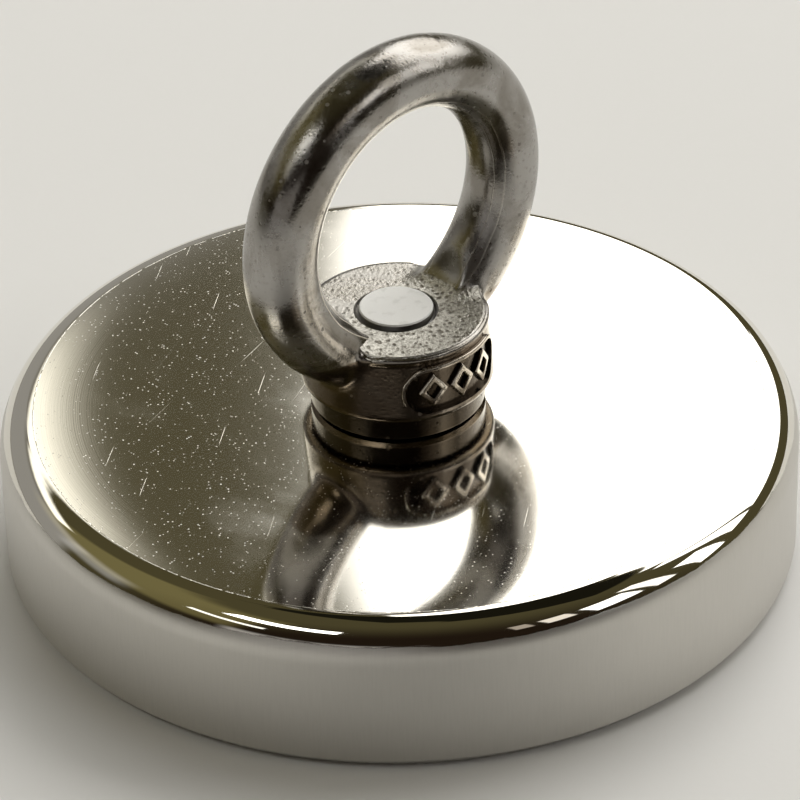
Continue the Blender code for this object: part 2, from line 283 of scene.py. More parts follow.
def close_up(piece):
    """Merges doubles and turns every face outwards."""
    pick(piece)
    bpy.ops.object.mode_set(mode="EDIT")
    bpy.ops.mesh.select_all(action="SELECT")
    bpy.ops.mesh.remove_doubles(threshold=MERGE)
    bpy.ops.mesh.normals_make_consistent(inside=False)
    bpy.ops.object.mode_set(mode="OBJECT")
    return piece


def smooth(piece, crease=CREASE_ANGLE):
    pick(piece)
    bpy.ops.object.shade_smooth_by_angle(angle=crease)
    return piece


def apply_modifier(piece, modifier):
    pick(piece)
    bpy.ops.object.modifier_apply(modifier=modifier.name)


def combine(piece, tool, operation):
    """Boolean of two closed pieces; the tool is used up."""
    before = len(piece.data.vertices), len(piece.data.polygons)
    modifier = piece.modifiers.new(operation.lower(), "BOOLEAN")
    modifier.operation = operation
    modifier.solver = "MANIFOLD"
    modifier.object = tool
    apply_modifier(piece, modifier)
    bpy.data.objects.remove(tool)
    if (len(piece.data.vertices), len(piece.data.polygons)) == before:
        raise RuntimeError(f"{operation.lower()} left {piece.name} unchanged")
    return piece


def drop_chips(piece):
    """Deletes the slivers that cuts have left beside the main body, which holds the highest point."""
    pick(piece)
    bpy.ops.object.mode_set(mode="EDIT")
    bpy.ops.mesh.select_mode(type="VERT")
    bpy.ops.mesh.select_all(action="DESELECT")
    bpy.ops.object.mode_set(mode="OBJECT")
    max(piece.data.vertices, key=lambda vertex: vertex.co.z).select = True
    bpy.ops.object.mode_set(mode="EDIT")
    bpy.ops.mesh.select_linked()
    bpy.ops.mesh.select_all(action="INVERT")
    bpy.ops.mesh.delete(type="VERT")
    bpy.ops.object.mode_set(mode="OBJECT")
    return piece


def arc(centre, radii, start, stop, steps):
    """Points on a quarter-like arc in the outline's plane, angles in degrees."""
    points = []
    for step in range(steps + 1):
        a = math.radians(start + (stop - start) * step / steps)
        points.append((centre[0] + radii[0] * math.cos(a), centre[1] + radii[1] * math.sin(a)))
    return points


def turned(name, outline, steps):
    """Lathe work: an outline of (radius, height), drawn by extruding a point, spun round Z."""
    deselect()
    points = [Vector((radius, 0, height)) for radius, height in outline]
    if outline[0][0] > 0:
        points.append(points[0])
    bpy.ops.mesh.primitive_plane_add(size=MM, location=points[0])
    piece = named(name)
    bpy.ops.object.mode_set(mode="EDIT")
    bpy.ops.mesh.select_all(action="SELECT")
    bpy.ops.mesh.merge(type="CENTER")
    for here, there in zip(points, points[1:]):
        bpy.ops.mesh.extrude_region_move(TRANSFORM_OT_translate={"value": there - here})
    bpy.ops.mesh.select_all(action="SELECT")
    bpy.ops.mesh.spin(steps=steps, angle=TURN, center=(0, 0, 0), axis=(0, 0, 1))
    bpy.ops.object.mode_set(mode="OBJECT")
    settle(piece)
    return close_up(piece)


def rod(name, outline, steps):
    """A turned solid: the outline is closed onto the axis at both ends."""
    return turned(name, [(0, outline[0][1]), *outline, (0, outline[-1][1])], steps)


# Shader helpers ----------------------------------------------------------


class Graph:
    """Adds nodes to one node tree and joins their sockets."""

    def __init__(self, tree):
        self.tree = tree
        self.count = 0

    def add(self, kind, inputs=None, **values):
        node = self.tree.nodes.new(kind)
        node.location = (220 * (self.count // 6), -170 * (self.count % 6))
        self.count += 1
        for key, value in values.items():
            setattr(node, key, value)
        for key, value in (inputs or {}).items():
            self.set(node.inputs[key], value)
        return node

    def set(self, socket, value):
        if isinstance(value, bpy.types.NodeSocket):
            self.tree.links.new(value, socket)
        elif socket.type == "RGBA" and len(value) == 3:
            socket.default_value = (*value, 1)
        else:
            socket.default_value = value

    def calc(self, operation, a, b=0.0, c=0.0, clamp=False):
        node = self.add("ShaderNodeMath", {0: a, 1: b, 2: c}, operation=operation, use_clamp=clamp)
        return node.outputs[0]

    def step(self, value, low, high, start=0.0, stop=1.0):
        """Smooth step from start to stop as the value goes from low to high."""
        node = self.add(
            "ShaderNodeMapRange",
            {"Value": value, "From Min": low, "From Max": high, "To Min": start, "To Max": stop},
            interpolation_type="SMOOTHSTEP",
        )
        return node.outputs[0]

    def between(self, value, rise, fall):
        """One between two smooth steps, given as their low and high values, and none outside them."""
        return self.calc("MULTIPLY", self.step(value, *rise), self.step(value, *fall, 1.0, 0.0))

    def mix(self, amount, a, b):
        """Number between a and b."""
        node = self.add("ShaderNodeMix", {0: amount, 2: a, 3: b}, data_type="FLOAT")
        return node.outputs[0]

    def tint(self, amount, a, b, blend="MIX"):
        """Colour between a and b."""
        node = self.add("ShaderNodeMix", {0: amount, 6: a, 7: b}, data_type="RGBA", blend_type=blend)
        return node.outputs[2]

    def noise(self, vector, scale, detail=2.0, roughness=0.5, distortion=0.0):
        node = self.add(
            "ShaderNodeTexNoise",
            {
                "Vector": vector,
                "Scale": scale,
                "Detail": detail,
                "Roughness": roughness,
                "Distortion": distortion,
            },
        )
        return node.outputs["Fac"]

    def stretch(self, vector, scale, rotation=(0, 0, 0)):
        node = self.add("ShaderNodeMapping", {"Vector": vector, "Scale": scale, "Rotation": rotation})
        return node.outputs[0]

    def use(self, group, inputs):
        node = self.add("ShaderNodeGroup")
        node.node_tree = group
        for key, value in inputs.items():
            self.set(node.inputs[key], value)
        return node.outputs

    def bump(self, height, distance, strength=1.0, normal=None):
        inputs = {"Height": height, "Distance": distance, "Strength": strength}
        if normal is not None:
            inputs["Normal"] = normal
        return self.add("ShaderNodeBump", inputs).outputs[0]


def new_group(name, inputs, outputs):
    """A shader node group with float and vector sockets."""
    tree = bpy.data.node_groups.new(name, "ShaderNodeTree")
    for socket, value in inputs.items():
        kind = "NodeSocketVector" if value is None else "NodeSocketFloat"
        item = tree.interface.new_socket(name=socket, in_out="INPUT", socket_type=kind)
        if value is not None:
            item.default_value = value
    for socket in outputs:
        tree.interface.new_socket(name=socket, in_out="OUTPUT", socket_type="NodeSocketFloat")
    graph = Graph(tree)
    source = graph.add("NodeGroupInput")
    sink = graph.add("NodeGroupOutput")
    return graph, source.outputs, sink.inputs


def specks_group():
    """Scattered round pits: Cover is the share of cells that hold one, Size its radius in cell widths."""
    graph, given, result = new_group(
        "scattered_specks", {"Vector": None, "Scale": 1000.0, "Cover": 0.3, "Size": 0.3}, ["Mask"]
    )
    cells = graph.add("ShaderNodeTexVoronoi", {"Vector": given["Vector"], "Scale": given["Scale"]})
    parts = graph.add("ShaderNodeSeparateColor", {0: cells.outputs["Color"]})
    present = graph.calc("LESS_THAN", parts.outputs[0], given["Cover"])
    radius = graph.calc("MULTIPLY", given["Size"], graph.calc("ADD", parts.outputs[1], 0.35))
    inside = graph.step(cells.outputs["Distance"], graph.calc("MULTIPLY", radius, 0.6), radius, 1.0, 0.0)
    graph.set(result["Mask"], graph.calc("MULTIPLY", present, inside))
    return graph.tree


def scratches_group():
    """Fine straight scratches along one direction: Cover goes from none at 0 to dense at 1."""
    graph, given, result = new_group(
        "fine_scratches",
        {"Vector": None, "Angle": 0.0, "Scale": 400.0, "Length": 12.0, "Cover": 0.3},
        ["Mask"],
    )
    turned_vector = graph.add(
        "ShaderNodeVectorRotate",
        {"Vector": given["Vector"], "Angle": given["Angle"]},
        rotation_type="Z_AXIS",
    ).outputs[0]
    parts = graph.add("ShaderNodeSeparateXYZ", {0: turned_vector})
    along = graph.calc("DIVIDE", parts.outputs[0], given["Length"])
    wander = graph.calc("MULTIPLY", graph.noise(turned_vector, 60.0, 1.0), 0.0002)
    across = graph.calc("ADD", parts.outputs[1], wander)
    joined = graph.add("ShaderNodeCombineXYZ", {0: along, 1: across, 2: 0.0}).outputs[0]
    cells = graph.add(
        "ShaderNodeTexVoronoi", {"Vector": joined, "Scale": given["Scale"]}, voronoi_dimensions="2D"
    )
    split = graph.add("ShaderNodeSeparateColor", {0: cells.outputs["Color"]})
    present = graph.calc("LESS_THAN", split.outputs[0], given["Cover"])
    place = graph.add(
        "ShaderNodeVectorMath", {0: joined, 1: cells.outputs["Position"]}, operation="SUBTRACT"
    )
    offsets = graph.add("ShaderNodeSeparateXYZ", {0: place.outputs[0]})
    line = graph.calc("MULTIPLY", graph.calc("ABSOLUTE", offsets.outputs[1]), given["Scale"])
    reach = graph.calc("MULTIPLY", graph.calc("ABSOLUTE", offsets.outputs[0]), given["Scale"])
    narrow = graph.step(line, 0.014, 0.04, 1.0, 0.0)
    ends = graph.step(reach, 0.15, 0.42, 1.0, 0.0)
    graph.set(result["Mask"], graph.calc("MULTIPLY", graph.calc("MULTIPLY", narrow, ends), present))
    return graph.tree


def turning_group():
    """Marks of a lathe tool round Z: a height and a shade that vary with the radius."""
    graph, given, result = new_group(
        "turning_marks", {"Vector": None, "Scale": 6000.0, "Wander": 0.3}, ["Height", "Shade"]
    )
    flat = graph.add("ShaderNodeVectorMath", {0: given["Vector"], 1: (1, 1, 0)}, operation="MULTIPLY")
    radius = graph.add("ShaderNodeVectorMath", {0: flat.outputs[0]}, operation="LENGTH").outputs["Value"]
    drift = graph.calc("MULTIPLY", graph.noise(given["Vector"], 120.0, 2.0), 0.0002)
    radius = graph.calc("ADD", radius, graph.calc("MULTIPLY", drift, given["Wander"]))
    fine = graph.add(
        "ShaderNodeTexNoise",
        {"W": radius, "Scale": given["Scale"], "Detail": 2.0},
        noise_dimensions="1D",
    ).outputs["Fac"]
    broad = graph.add(
        "ShaderNodeTexNoise",
        {"W": radius, "Scale": graph.calc("MULTIPLY", given["Scale"], 0.12), "Detail": 3.0},
        noise_dimensions="1D",
    ).outputs["Fac"]
    graph.set(result["Height"], graph.calc("ADD", fine, broad))
    graph.set(result["Shade"], broad)
    return graph.tree


def grain_group():
    """Cast or blasted skin: close pits over a rougher ground, and broad patches of wear."""
    graph, given, result = new_group(
        "cast_grain", {"Vector": None, "Scale": 2500.0, "Patch Scale": 160.0}, ["Height", "Patch", "Pits"]
    )
    fine = graph.noise(given["Vector"], given["Scale"], 3.0, 0.65)
    cells = graph.add(
        "ShaderNodeTexVoronoi",
        {"Vector": given["Vector"], "Scale": graph.calc("MULTIPLY", given["Scale"], 0.6)},
    )
    pits = graph.step(cells.outputs["Distance"], 0.05, 0.42, 1.0, 0.0)
    patch = graph.noise(given["Vector"], given["Patch Scale"], 4.0, 0.6, 0.6)
    graph.set(result["Height"], graph.calc("SUBTRACT", fine, graph.calc("MULTIPLY", pits, 0.5)))
    graph.set(result["Patch"], graph.step(patch, 0.38, 0.62))
    graph.set(result["Pits"], pits)
    return graph.tree


EFFECTS = {
    "specks": specks_group,
    "scratches": scratches_group,
    "turning": turning_group,
    "grain": grain_group,
}
_effects = {}


def effect(name):
    """One of the shared effects, built on first use."""
    if name not in _effects:
        _effects[name] = EFFECTS[name]()
    return _effects[name]


def specks_mask(graph, vector, scale, cover, size):
    inputs = {"Vector": vector, "Scale": scale, "Cover": cover, "Size": size}
    return graph.use(effect("specks"), inputs)["Mask"]


def scratches_mask(graph, vector, turn, scale, stretch, cover):
    inputs = {"Vector": vector, "Angle": turn, "Scale": scale, "Length": stretch, "Cover": cover}
    return graph.use(effect("scratches"), inputs)["Mask"]


def new_material(name, metallic, ior=1.5):
    """A Principled material: its graph, the object-space vector and the shader's sockets."""
    material = bpy.data.materials.new(name)
    material.use_nodes = True
    graph = Graph(material.node_tree)
    shader = material.node_tree.nodes["Principled BSDF"]
    shader.inputs["Metallic"].default_value = metallic
    shader.inputs["IOR"].default_value = ior
    vector = graph.add("ShaderNodeTexCoord").outputs["Object"]
    return material, graph, vector, shader.inputs


def axial(graph, vector):
    """Radius round Z and height of a point."""
    flat = graph.add("ShaderNodeVectorMath", {0: vector, 1: (1, 1, 0)}, operation="MULTIPLY")
    radius = graph.add("ShaderNodeVectorMath", {0: flat.outputs[0]}, operation="LENGTH").outputs["Value"]
    height = graph.add("ShaderNodeSeparateXYZ", {0: vector}).outputs[2]
    return radius, height


def nickel_cup_material(sizes, finish):
    """Nickel plate: a turned and pitted back, a polished rim, a satin wall and a ground working edge."""
    material, graph, vector, shader = new_material("nickel_plated_cup", 1.0)
    radius, height = axial(graph, vector)
    top = POT_HIGH.z
    edge = POT_HIGH.x - sizes.rim_width
    waver = graph.calc("MULTIPLY", graph.calc("SUBTRACT", graph.noise(vector, 220.0, 3.0), 0.5), 0.5 * MM)
    wavy = graph.calc("ADD", height, waver)
    wall = graph.step(wavy, top - 2.25 * MM, top - 2.05 * MM, 1.0, 0.0)
    back = graph.step(radius, edge - 0.05 * MM, edge + 0.05 * MM, 1.0, 0.0)
    back = graph.calc("MULTIPLY", back, graph.step(height, top - 0.4 * MM, top - 0.2 * MM))
    foot = graph.step(height, 0.1 * MM, 0.2 * MM, 1.0, 0.0)

    lines = graph.use(effect("turning"), {"Vector": vector, "Scale": 5200.0, "Wander": 0.2})
    specks = specks_mask(graph, vector, 3100.0, 0.26, 0.24)
    pits = specks_mask(graph, vector, 1300.0, 0.08, 0.10)
    crowd = graph.step(graph.noise(vector, 60.0, 3.0), 0.40, 0.60, 0.45, 1.0)
    marks = graph.calc("MAXIMUM", specks, pits)
    marks = graph.calc("MULTIPLY", graph.calc("MULTIPLY", marks, crowd), back)
    scores = None
    for turn, scale, stretch, cover in (
        (-0.45, 620.0, 9.0, 0.03),
        (-0.30, 900.0, 7.0, 0.035),
        (-0.64, 1100.0, 6.0, 0.04),
    ):
        mask = scratches_mask(graph, vector, turn, scale, stretch, cover)
        scores = mask if scores is None else graph.calc("MAXIMUM", scores, mask)
        scores = graph.calc("MULTIPLY", scores, graph.mix(back, 0.06, 0.42))
    drawn_out = graph.stretch(vector, (1, 0.5, 1), (0, 0, 0.6))
    smear = graph.step(graph.noise(drawn_out, 90.0, 4.0, 0.6), 0.5, 0.75)

    rough = graph.mix(back, finish.rim_roughness, finish.back_roughness)
    rough = graph.calc("ADD", rough, graph.calc("MULTIPLY", graph.calc("MULTIPLY", smear, back), 0.035))
    rough = graph.mix(wall, rough, finish.wall_roughness)
    rough = graph.mix(foot, rough, 0.3)
    rough = graph.mix(marks, rough, 0.42)
    rough = graph.mix(scores, rough, 0.5)
    tint = graph.tint(wall, finish.nickel, finish.nickel_wall)
    cloud = graph.noise(vector, 70.0, 4.0, 0.55)
    tint = graph.tint(
        graph.calc("MULTIPLY", graph.calc("MULTIPLY", cloud, wall), 0.35), tint, (0.50, 0.485, 0.45)
    )
    tint = graph.tint(graph.calc("MULTIPLY", lines["Shade"], 0.10), tint, (0.55, 0.53, 0.47))
    off_edge = graph.calc("ABSOLUTE", graph.calc("SUBTRACT", radius, edge))
    burr = graph.step(off_edge, 0.02 * MM, 0.07 * MM, 1.0, 0.0)
    ragged = graph.step(graph.noise(vector, 900.0, 2.0), 0.35, 0.6)
    burr = graph.calc("MULTIPLY", burr, ragged)
    burr = graph.calc("MULTIPLY", burr, graph.step(height, top - 0.5 * MM, top - 0.3 * MM))
    rough = graph.mix(burr, rough, 0.4)

    around = graph.add("ShaderNodeSeparateXYZ", {0: vector}).outputs
    sweep = graph.calc("MULTIPLY", graph.calc("ARCTAN2", around[1], around[0]), POT_HIGH.x)
    drawn_up = graph.calc("MULTIPLY", height, 0.06)
    brushed = graph.add("ShaderNodeCombineXYZ", {0: sweep, 1: drawn_up, 2: 0.0}).outputs[0]
    brush = graph.noise(brushed, 4200.0, 2.0)
    satin = graph.noise(vector, 3200.0, 2.0)
    outer_ring = graph.step(radius, edge - 16 * MM, edge - 4 * MM, 0.08, 1.0)
    lines_height = graph.calc("MULTIPLY", lines["Height"], outer_ring)
    lines_height = graph.calc("MULTIPLY", lines_height, graph.calc("MAXIMUM", back, foot))
    wall_height = graph.calc("MULTIPLY", graph.calc("ADD", brush, graph.calc("MULTIPLY", satin, 0.8)), wall)
    lip = graph.bump(burr, 0.02 * MM)
    first = graph.bump(lines_height, 0.0006 * MM, normal=lip)
    second = graph.bump(wall_height, 0.006 * MM, normal=first)
    waves = graph.calc("MULTIPLY", graph.noise(vector, 240.0, 2.0), graph.calc("SUBTRACT", 1.0, back))
    third = graph.bump(waves, 0.006 * MM, normal=second)
    dents = graph.calc("SUBTRACT", 1.0, graph.calc("MAXIMUM", marks, scores))
    final = graph.bump(dents, 0.004 * MM, normal=third)
    streaks = graph.calc("MULTIPLY", graph.step(brush, 0.35, 0.7), graph.calc("MULTIPLY", wall, 0.07))
    tint = graph.tint(streaks, tint, (0.42, 0.41, 0.38))
    graph.set(shader["Base Color"], tint)
    graph.set(shader["Roughness"], rough)
    graph.set(shader["Normal"], final)
    return material


def cast_material(sizes, finish):
    """Investment-cast stainless steel: bright flanks, a granular collar top and a darker collar side, with
    painted shade in the sunk panel, a painted dark reflection on the foot and painted highlights on the
    raised marks and parting ridges.
    """
    material, graph, vector, shader = new_material("cast_stainless_steel", 1.0)
    radius, height = axial(graph, vector)
    parts = graph.add("ShaderNodeSeparateXYZ", {0: vector}).outputs
    centre = NUT_HIGH.z - sizes.wire - sizes.eye_inner_height / 2
    seat = NUT_LOW.z
    top = seat + sizes.collar_height
    skin = graph.use(effect("grain"), {"Vector": vector, "Scale": 2600.0, "Patch Scale": 130.0})
    coarse = graph.use(effect("grain"), {"Vector": vector, "Scale": 2200.0, "Patch Scale": 260.0})

    in_eye = graph.add(
        "ShaderNodeCombineXYZ", {0: parts[0], 1: graph.calc("SUBTRACT", parts[2], centre), 2: 0.0}
    ).outputs[0]
    reach = graph.add("ShaderNodeVectorMath", {0: in_eye}, operation="LENGTH").outputs["Value"]
    mean = (sizes.eye_inner_width + sizes.eye_inner_height) / 4 + sizes.wire / 2
    inner = graph.step(reach, mean - 1.2 * MM, mean - 0.6 * MM, 1.0, 0.0)
    side = graph.calc("ABSOLUTE", parts[1])
    wander = graph.calc("MULTIPLY", graph.noise(vector, 300.0, 2.0), 0.25 * MM)
    side = graph.calc("ADD", side, wander)
    fold = graph.calc("PINGPONG", graph.calc("SUBTRACT", side, 2.35 * MM), 0.42 * MM)
    ridge = graph.step(fold, 0.02 * MM, 0.09 * MM, 1.0, 0.0)
    band = graph.between(side, (1.9 * MM, 2.1 * MM), (3.3 * MM, 3.5 * MM))
    ridge = graph.calc("MULTIPLY", ridge, band)
    above = graph.step(height, top + 0.2 * MM, top + 1.2 * MM)
    ridge = graph.calc("MULTIPLY", graph.calc("MULTIPLY", ridge, inner), above)
    ridge = graph.calc("MULTIPLY", ridge, graph.step(parts[0], -1.0 * MM, 6.0 * MM, 1.0, 0.2))

    lip = sizes.collar_upper
    granular = graph.between(height, (top - 0.25 * MM, top - 0.05 * MM), (top + 0.5 * MM, top + 0.9 * MM))
    inside_lip = graph.step(radius, lip - 0.55 * MM, lip - 0.3 * MM, 1.0, 0.0)
    granular = graph.calc("MULTIPLY", granular, inside_lip)
    granular = graph.calc("MULTIPLY", granular, graph.step(parts[1], 1.0 * MM, 4.5 * MM, 1.0, 0.25))
    collar = graph.step(height, top - 0.6 * MM, top - 0.2 * MM, 1.0, 0.0)
    shoulder = seat + sizes.foot_height
    share_up = graph.calc("DIVIDE", graph.calc("SUBTRACT", height, shoulder), top - sizes.bead - shoulder)
    draft = graph.calc("MULTIPLY", share_up, sizes.collar_upper - sizes.collar_lower)
    depth = graph.calc("SUBTRACT", graph.calc("ADD", draft, sizes.collar_lower), radius)
    belt = graph.between(
        height, (shoulder + 0.9 * MM, shoulder + 1.1 * MM), (top - 1.45 * MM, top - 1.2 * MM)
    )
    belt = graph.calc("MULTIPLY", belt, graph.step(radius, lip - 1.2 * MM, lip - 0.9 * MM))
    front = graph.step(parts[1], -7.0 * MM, -5.5 * MM, 1.0, 0.0)
    belt = graph.calc("MULTIPLY", belt, front)
    panel = graph.calc("MULTIPLY", graph.step(depth, 0.10 * MM, 0.26 * MM), belt)
    proud = graph.calc("MULTIPLY", graph.step(depth, -0.11 * MM, -0.03 * MM, 1.0, 0.0), belt)
    proud = graph.calc("MULTIPLY", proud, graph.step(depth, -0.5 * MM, -0.3 * MM))

    tint = graph.tint(graph.calc("MULTIPLY", skin["Patch"], 0.55), finish.cast_light, finish.cast_dark)
    tint = graph.tint(graph.calc("MULTIPLY", skin["Pits"], 0.22), tint, finish.cast_dark)
    # the collar's side, below its top, is painted much darker and browner than the eye
    collar_darkening = graph.calc("MULTIPLY", collar, graph.mix(skin["Patch"], 0.82, 0.97))
    tint = graph.tint(collar_darkening, tint, (0.125, 0.098, 0.07))
    # painted dark reflection: the machined foot's side is painted almost black, standing in for the dark
    # studio that it mirrors
    foot = graph.step(height, shoulder - 0.15 * MM, shoulder + 0.1 * MM, 1.0, 0.0)
    foot = graph.calc("MULTIPLY", foot, graph.step(height, seat + 0.40 * MM, seat + 0.55 * MM))
    tint = graph.tint(graph.calc("MULTIPLY", foot, 0.92), tint, (0.05, 0.04, 0.028))
    # painted shade: the sunk panel round the marks is painted almost black
    tint = graph.tint(graph.calc("MULTIPLY", panel, 0.85), tint, (0.045, 0.035, 0.025))
    # painted highlight: the proud faces of the marks and of the panel's surround are painted light
    tint = graph.tint(graph.calc("MULTIPLY", proud, 0.75), tint, (0.62, 0.57, 0.50))
    sand = graph.tint(graph.step(coarse["Height"], 0.25, 0.6), (0.30, 0.28, 0.24), (0.80, 0.78, 0.72))
    tint = graph.tint(graph.calc("MULTIPLY", granular, 0.85), tint, sand)
    # painted highlight: the parting ridges on the eye's inner flanks are painted nearly white
    tint = graph.tint(ridge, tint, (0.92, 0.87, 0.77))
    rough = graph.mix(skin["Patch"], finish.cast_roughness, finish.cast_roughness * 0.55)
    rough = graph.calc("ADD", rough, graph.calc("MULTIPLY", skin["Height"], 0.06))
    rough = graph.mix(graph.calc("MULTIPLY", collar, 0.7), rough, 0.20)
    rough = graph.mix(granular, rough, 0.38)
    rough = graph.mix(graph.calc("MULTIPLY", ridge, 0.6), rough, 0.45)
    specks = specks_mask(graph, vector, 1300.0, 0.18, 0.3)
    rough = graph.mix(graph.calc("MULTIPLY", specks, 0.7), rough, 0.6)
    first = graph.bump(skin["Height"], 0.014 * MM)
    second = graph.bump(graph.calc("MULTIPLY", coarse["Height"], granular), 0.20 * MM, normal=first)
    third = graph.bump(ridge, 0.08 * MM, normal=second)
    final = graph.bump(graph.calc("SUBTRACT", 1.0, specks), 0.01 * MM, normal=third)
    graph.set(shader["Base Color"], tint)
    graph.set(shader["Roughness"], rough)
    graph.set(shader["Normal"], final)
    return material


def lathe_material(name, tint, roughness, scale, depth):
    """Turned steel: tool marks round Z, light scuffs and a little unevenness."""
    material, graph, vector, shader = new_material(name, 1.0)
    lines = graph.use(effect("turning"), {"Vector": vector, "Scale": scale, "Wander": 0.3})
    scuffs = scratches_mask(graph, vector, 0.9, 420.0, 8.0, 0.12)
    cloud = graph.noise(vector, 180.0, 4.0, 0.6)
    dark = tuple(channel * 0.72 for channel in tint)
    shade = graph.tint(graph.calc("MULTIPLY", lines["Shade"], 0.4), tint, dark)
    shade = graph.tint(graph.calc("MULTIPLY", cloud, 0.3), shade, dark)
    rough = graph.calc("ADD", roughness - 0.05, graph.calc("MULTIPLY", cloud, 0.12))
    rough = graph.mix(scuffs, rough, 0.5)
    first = graph.bump(lines["Height"], depth)
    final = graph.bump(graph.calc("SUBTRACT", 1.0, scuffs), 0.003 * MM, normal=first)
    graph.set(shader["Base Color"], shade)
    graph.set(shader["Roughness"], rough)
    graph.set(shader["Normal"], final)
    return material


def screw_material(finish):
    """Zinc-plated screw: bright flanks, a matt and slightly chalky end, and painted shade on the thread just
    under the end.
    """
    material, graph, vector, shader = new_material("zinc_plated_screw", 1.0)
    _, height = axial(graph, vector)
    end = graph.step(height, SCREW_HIGH.z - 0.22 * MM, SCREW_HIGH.z - 0.14 * MM)
    # painted shade: the thread just under the end, down in the nut's bore, is painted almost black
    bore_shade = graph.calc("SUBTRACT", graph.step(height, SCREW_HIGH.z - 1.6 * MM, SCREW_HIGH.z - 1.2 * MM), end)
    cloud = graph.noise(vector, 420.0, 5.0, 0.65)
    fine = graph.noise(vector, 3500.0, 3.0, 0.6)
    blot = graph.step(graph.noise(vector, 700.0, 3.0), 0.52, 0.7)
    tint = graph.tint(graph.calc("MULTIPLY", cloud, 0.5), finish.screw, (0.46, 0.47, 0.46))
    pale = graph.tint(graph.calc("MULTIPLY", blot, 0.4), finish.screw_end, (0.70, 0.70, 0.67))
    tint = graph.tint(end, tint, pale)
    tint = graph.tint(graph.calc("MULTIPLY", bore_shade, 0.85), tint, (0.05, 0.045, 0.04))
    rough = graph.calc("ADD", 0.24, graph.calc("MULTIPLY", cloud, 0.14))
    rough = graph.mix(end, rough, graph.calc("ADD", 0.48, graph.calc("MULTIPLY", fine, 0.15)))
    metal = graph.mix(end, 1.0, 0.0)
    first = graph.bump(fine, 0.006 * MM)
    final = graph.bump(graph.calc("MULTIPLY", cloud, end), 0.05 * MM, normal=first)
    graph.set(shader["Base Color"], tint)
    graph.set(shader["Metallic"], metal)
    graph.set(shader["Roughness"], rough)
    graph.set(shader["Normal"], final)
    return material


def magnet_material(finish):
    """Nickel plate on a sintered magnet: satin, faintly orange-peeled, scuffed and nicked by use."""
    material, graph, vector, shader = new_material("nickel_plated_magnet", 1.0)
    cloud = graph.noise(vector, 60.0, 4.0, 0.55)
    peel = graph.noise(vector, 900.0, 3.0, 0.55)
    scores = None
    for turn, scale, stretch, cover in (
        (0.3, 170.0, 12.0, 0.16),
        (1.4, 230.0, 9.0, 0.16),
        (2.4, 150.0, 16.0, 0.1),
    ):
        mask = scratches_mask(graph, vector, turn, scale, stretch, cover)
        scores = mask if scores is None else graph.calc("MAXIMUM", scores, mask)
    nicks = specks_mask(graph, vector, 420.0, 0.05, 0.26)
    tint = graph.tint(graph.calc("MULTIPLY", cloud, 0.4), finish.magnet, (0.50, 0.485, 0.45))
    tint = graph.tint(graph.calc("MULTIPLY", nicks, 0.8), tint, (0.16, 0.11, 0.07))
    rough = graph.calc("ADD", 0.22, graph.calc("MULTIPLY", cloud, 0.16))
    rough = graph.mix(scores, rough, 0.5)
    rough = graph.mix(nicks, rough, 0.7)
    first = graph.bump(peel, 0.02 * MM)
    dents = graph.calc("SUBTRACT", 1.0, graph.calc("MAXIMUM", scores, nicks))
    final = graph.bump(dents, 0.01 * MM, normal=first)
    graph.set(shader["Base Color"], tint)
    graph.set(shader["Roughness"], rough)
    graph.set(shader["Normal"], final)
    return material


def resin_material(name, tint, roughness, ripple):
    """Cured resin: self-levelled and glossy, with dust, painted shade in its pin-holes and a faint ripple.
    """
    material, graph, vector, shader = new_material(name, 0.0)
    ripples = graph.noise(vector, 260.0, 3.0, 0.5)
    holes = specks_mask(graph, vector, 700.0, 0.09, 0.3)
    dust = graph.step(graph.noise(vector, 1900.0, 3.0, 0.7), 0.55, 0.8)
    pale = tuple(channel + 0.10 for channel in tint)
    shade = graph.tint(graph.calc("MULTIPLY", dust, 0.5), tint, pale)
    # painted shade: the pin-holes are painted darker than the resin round them
    shade = graph.tint(holes, shade, tuple(channel * 0.4 for channel in tint))
    rough = graph.calc("ADD", roughness, graph.calc("MULTIPLY", dust, 0.25))
    first = graph.bump(ripples, ripple)
    final = graph.bump(graph.calc("SUBTRACT", 1.0, holes), 0.05 * MM, normal=first)
    graph.set(shader["Base Color"], shade)
    graph.set(shader["Roughness"], rough)
    graph.set(shader["Normal"], final)
    return material


def floor_material(tint):
    """Matt pale sheet with the faintest tooth, and painted shade beside the cup that shows in reflections
    only.
    """
    material, graph, vector, shader = new_material("pale_floor", 0.0)
    tooth = graph.noise(vector, 1400.0, 3.0, 0.6)
    deeper = tuple(channel * 0.93 for channel in tint)
    shade = graph.tint(graph.calc("MULTIPLY", tooth, 0.12), tint, deeper)
    # painted shade: in glossy rays only, the floor near the cup's camera side is painted up to half way to
    # black, so the cup's wall mirrors a darker floor there
    beside_cup = (-0.052, -0.066, 0.0)
    away = graph.add("ShaderNodeVectorMath", {0: vector, 1: beside_cup}, operation="DISTANCE")
    dim = graph.step(away.outputs["Value"], 0.0, 0.07, 0.50, 1.0)
    mirrored = graph.add("ShaderNodeLightPath").outputs["Is Glossy Ray"]
    darkened = graph.calc("MULTIPLY", mirrored, graph.calc("SUBTRACT", 1.0, dim))
    shade = graph.tint(darkened, shade, (0.0, 0.0, 0.0))
    graph.set(shader["Base Color"], shade)
    graph.set(shader["Roughness"], graph.calc("ADD", 0.7, graph.calc("MULTIPLY", tooth, 0.1)))
    graph.set(shader["Normal"], graph.bump(tooth, 0.01 * MM))
    return material


def dress(piece, body, slot, material, *nodes):
    """Gives a finished piece its material and body, and hides the CAD nodes that it stands for. The slot is
    not used.
    """
    piece.data.materials.clear()
    piece.data.materials.append(material)
    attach(piece, body)
    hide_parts(*nodes)
    return piece


# Pieces -------------------------------------------------------------------


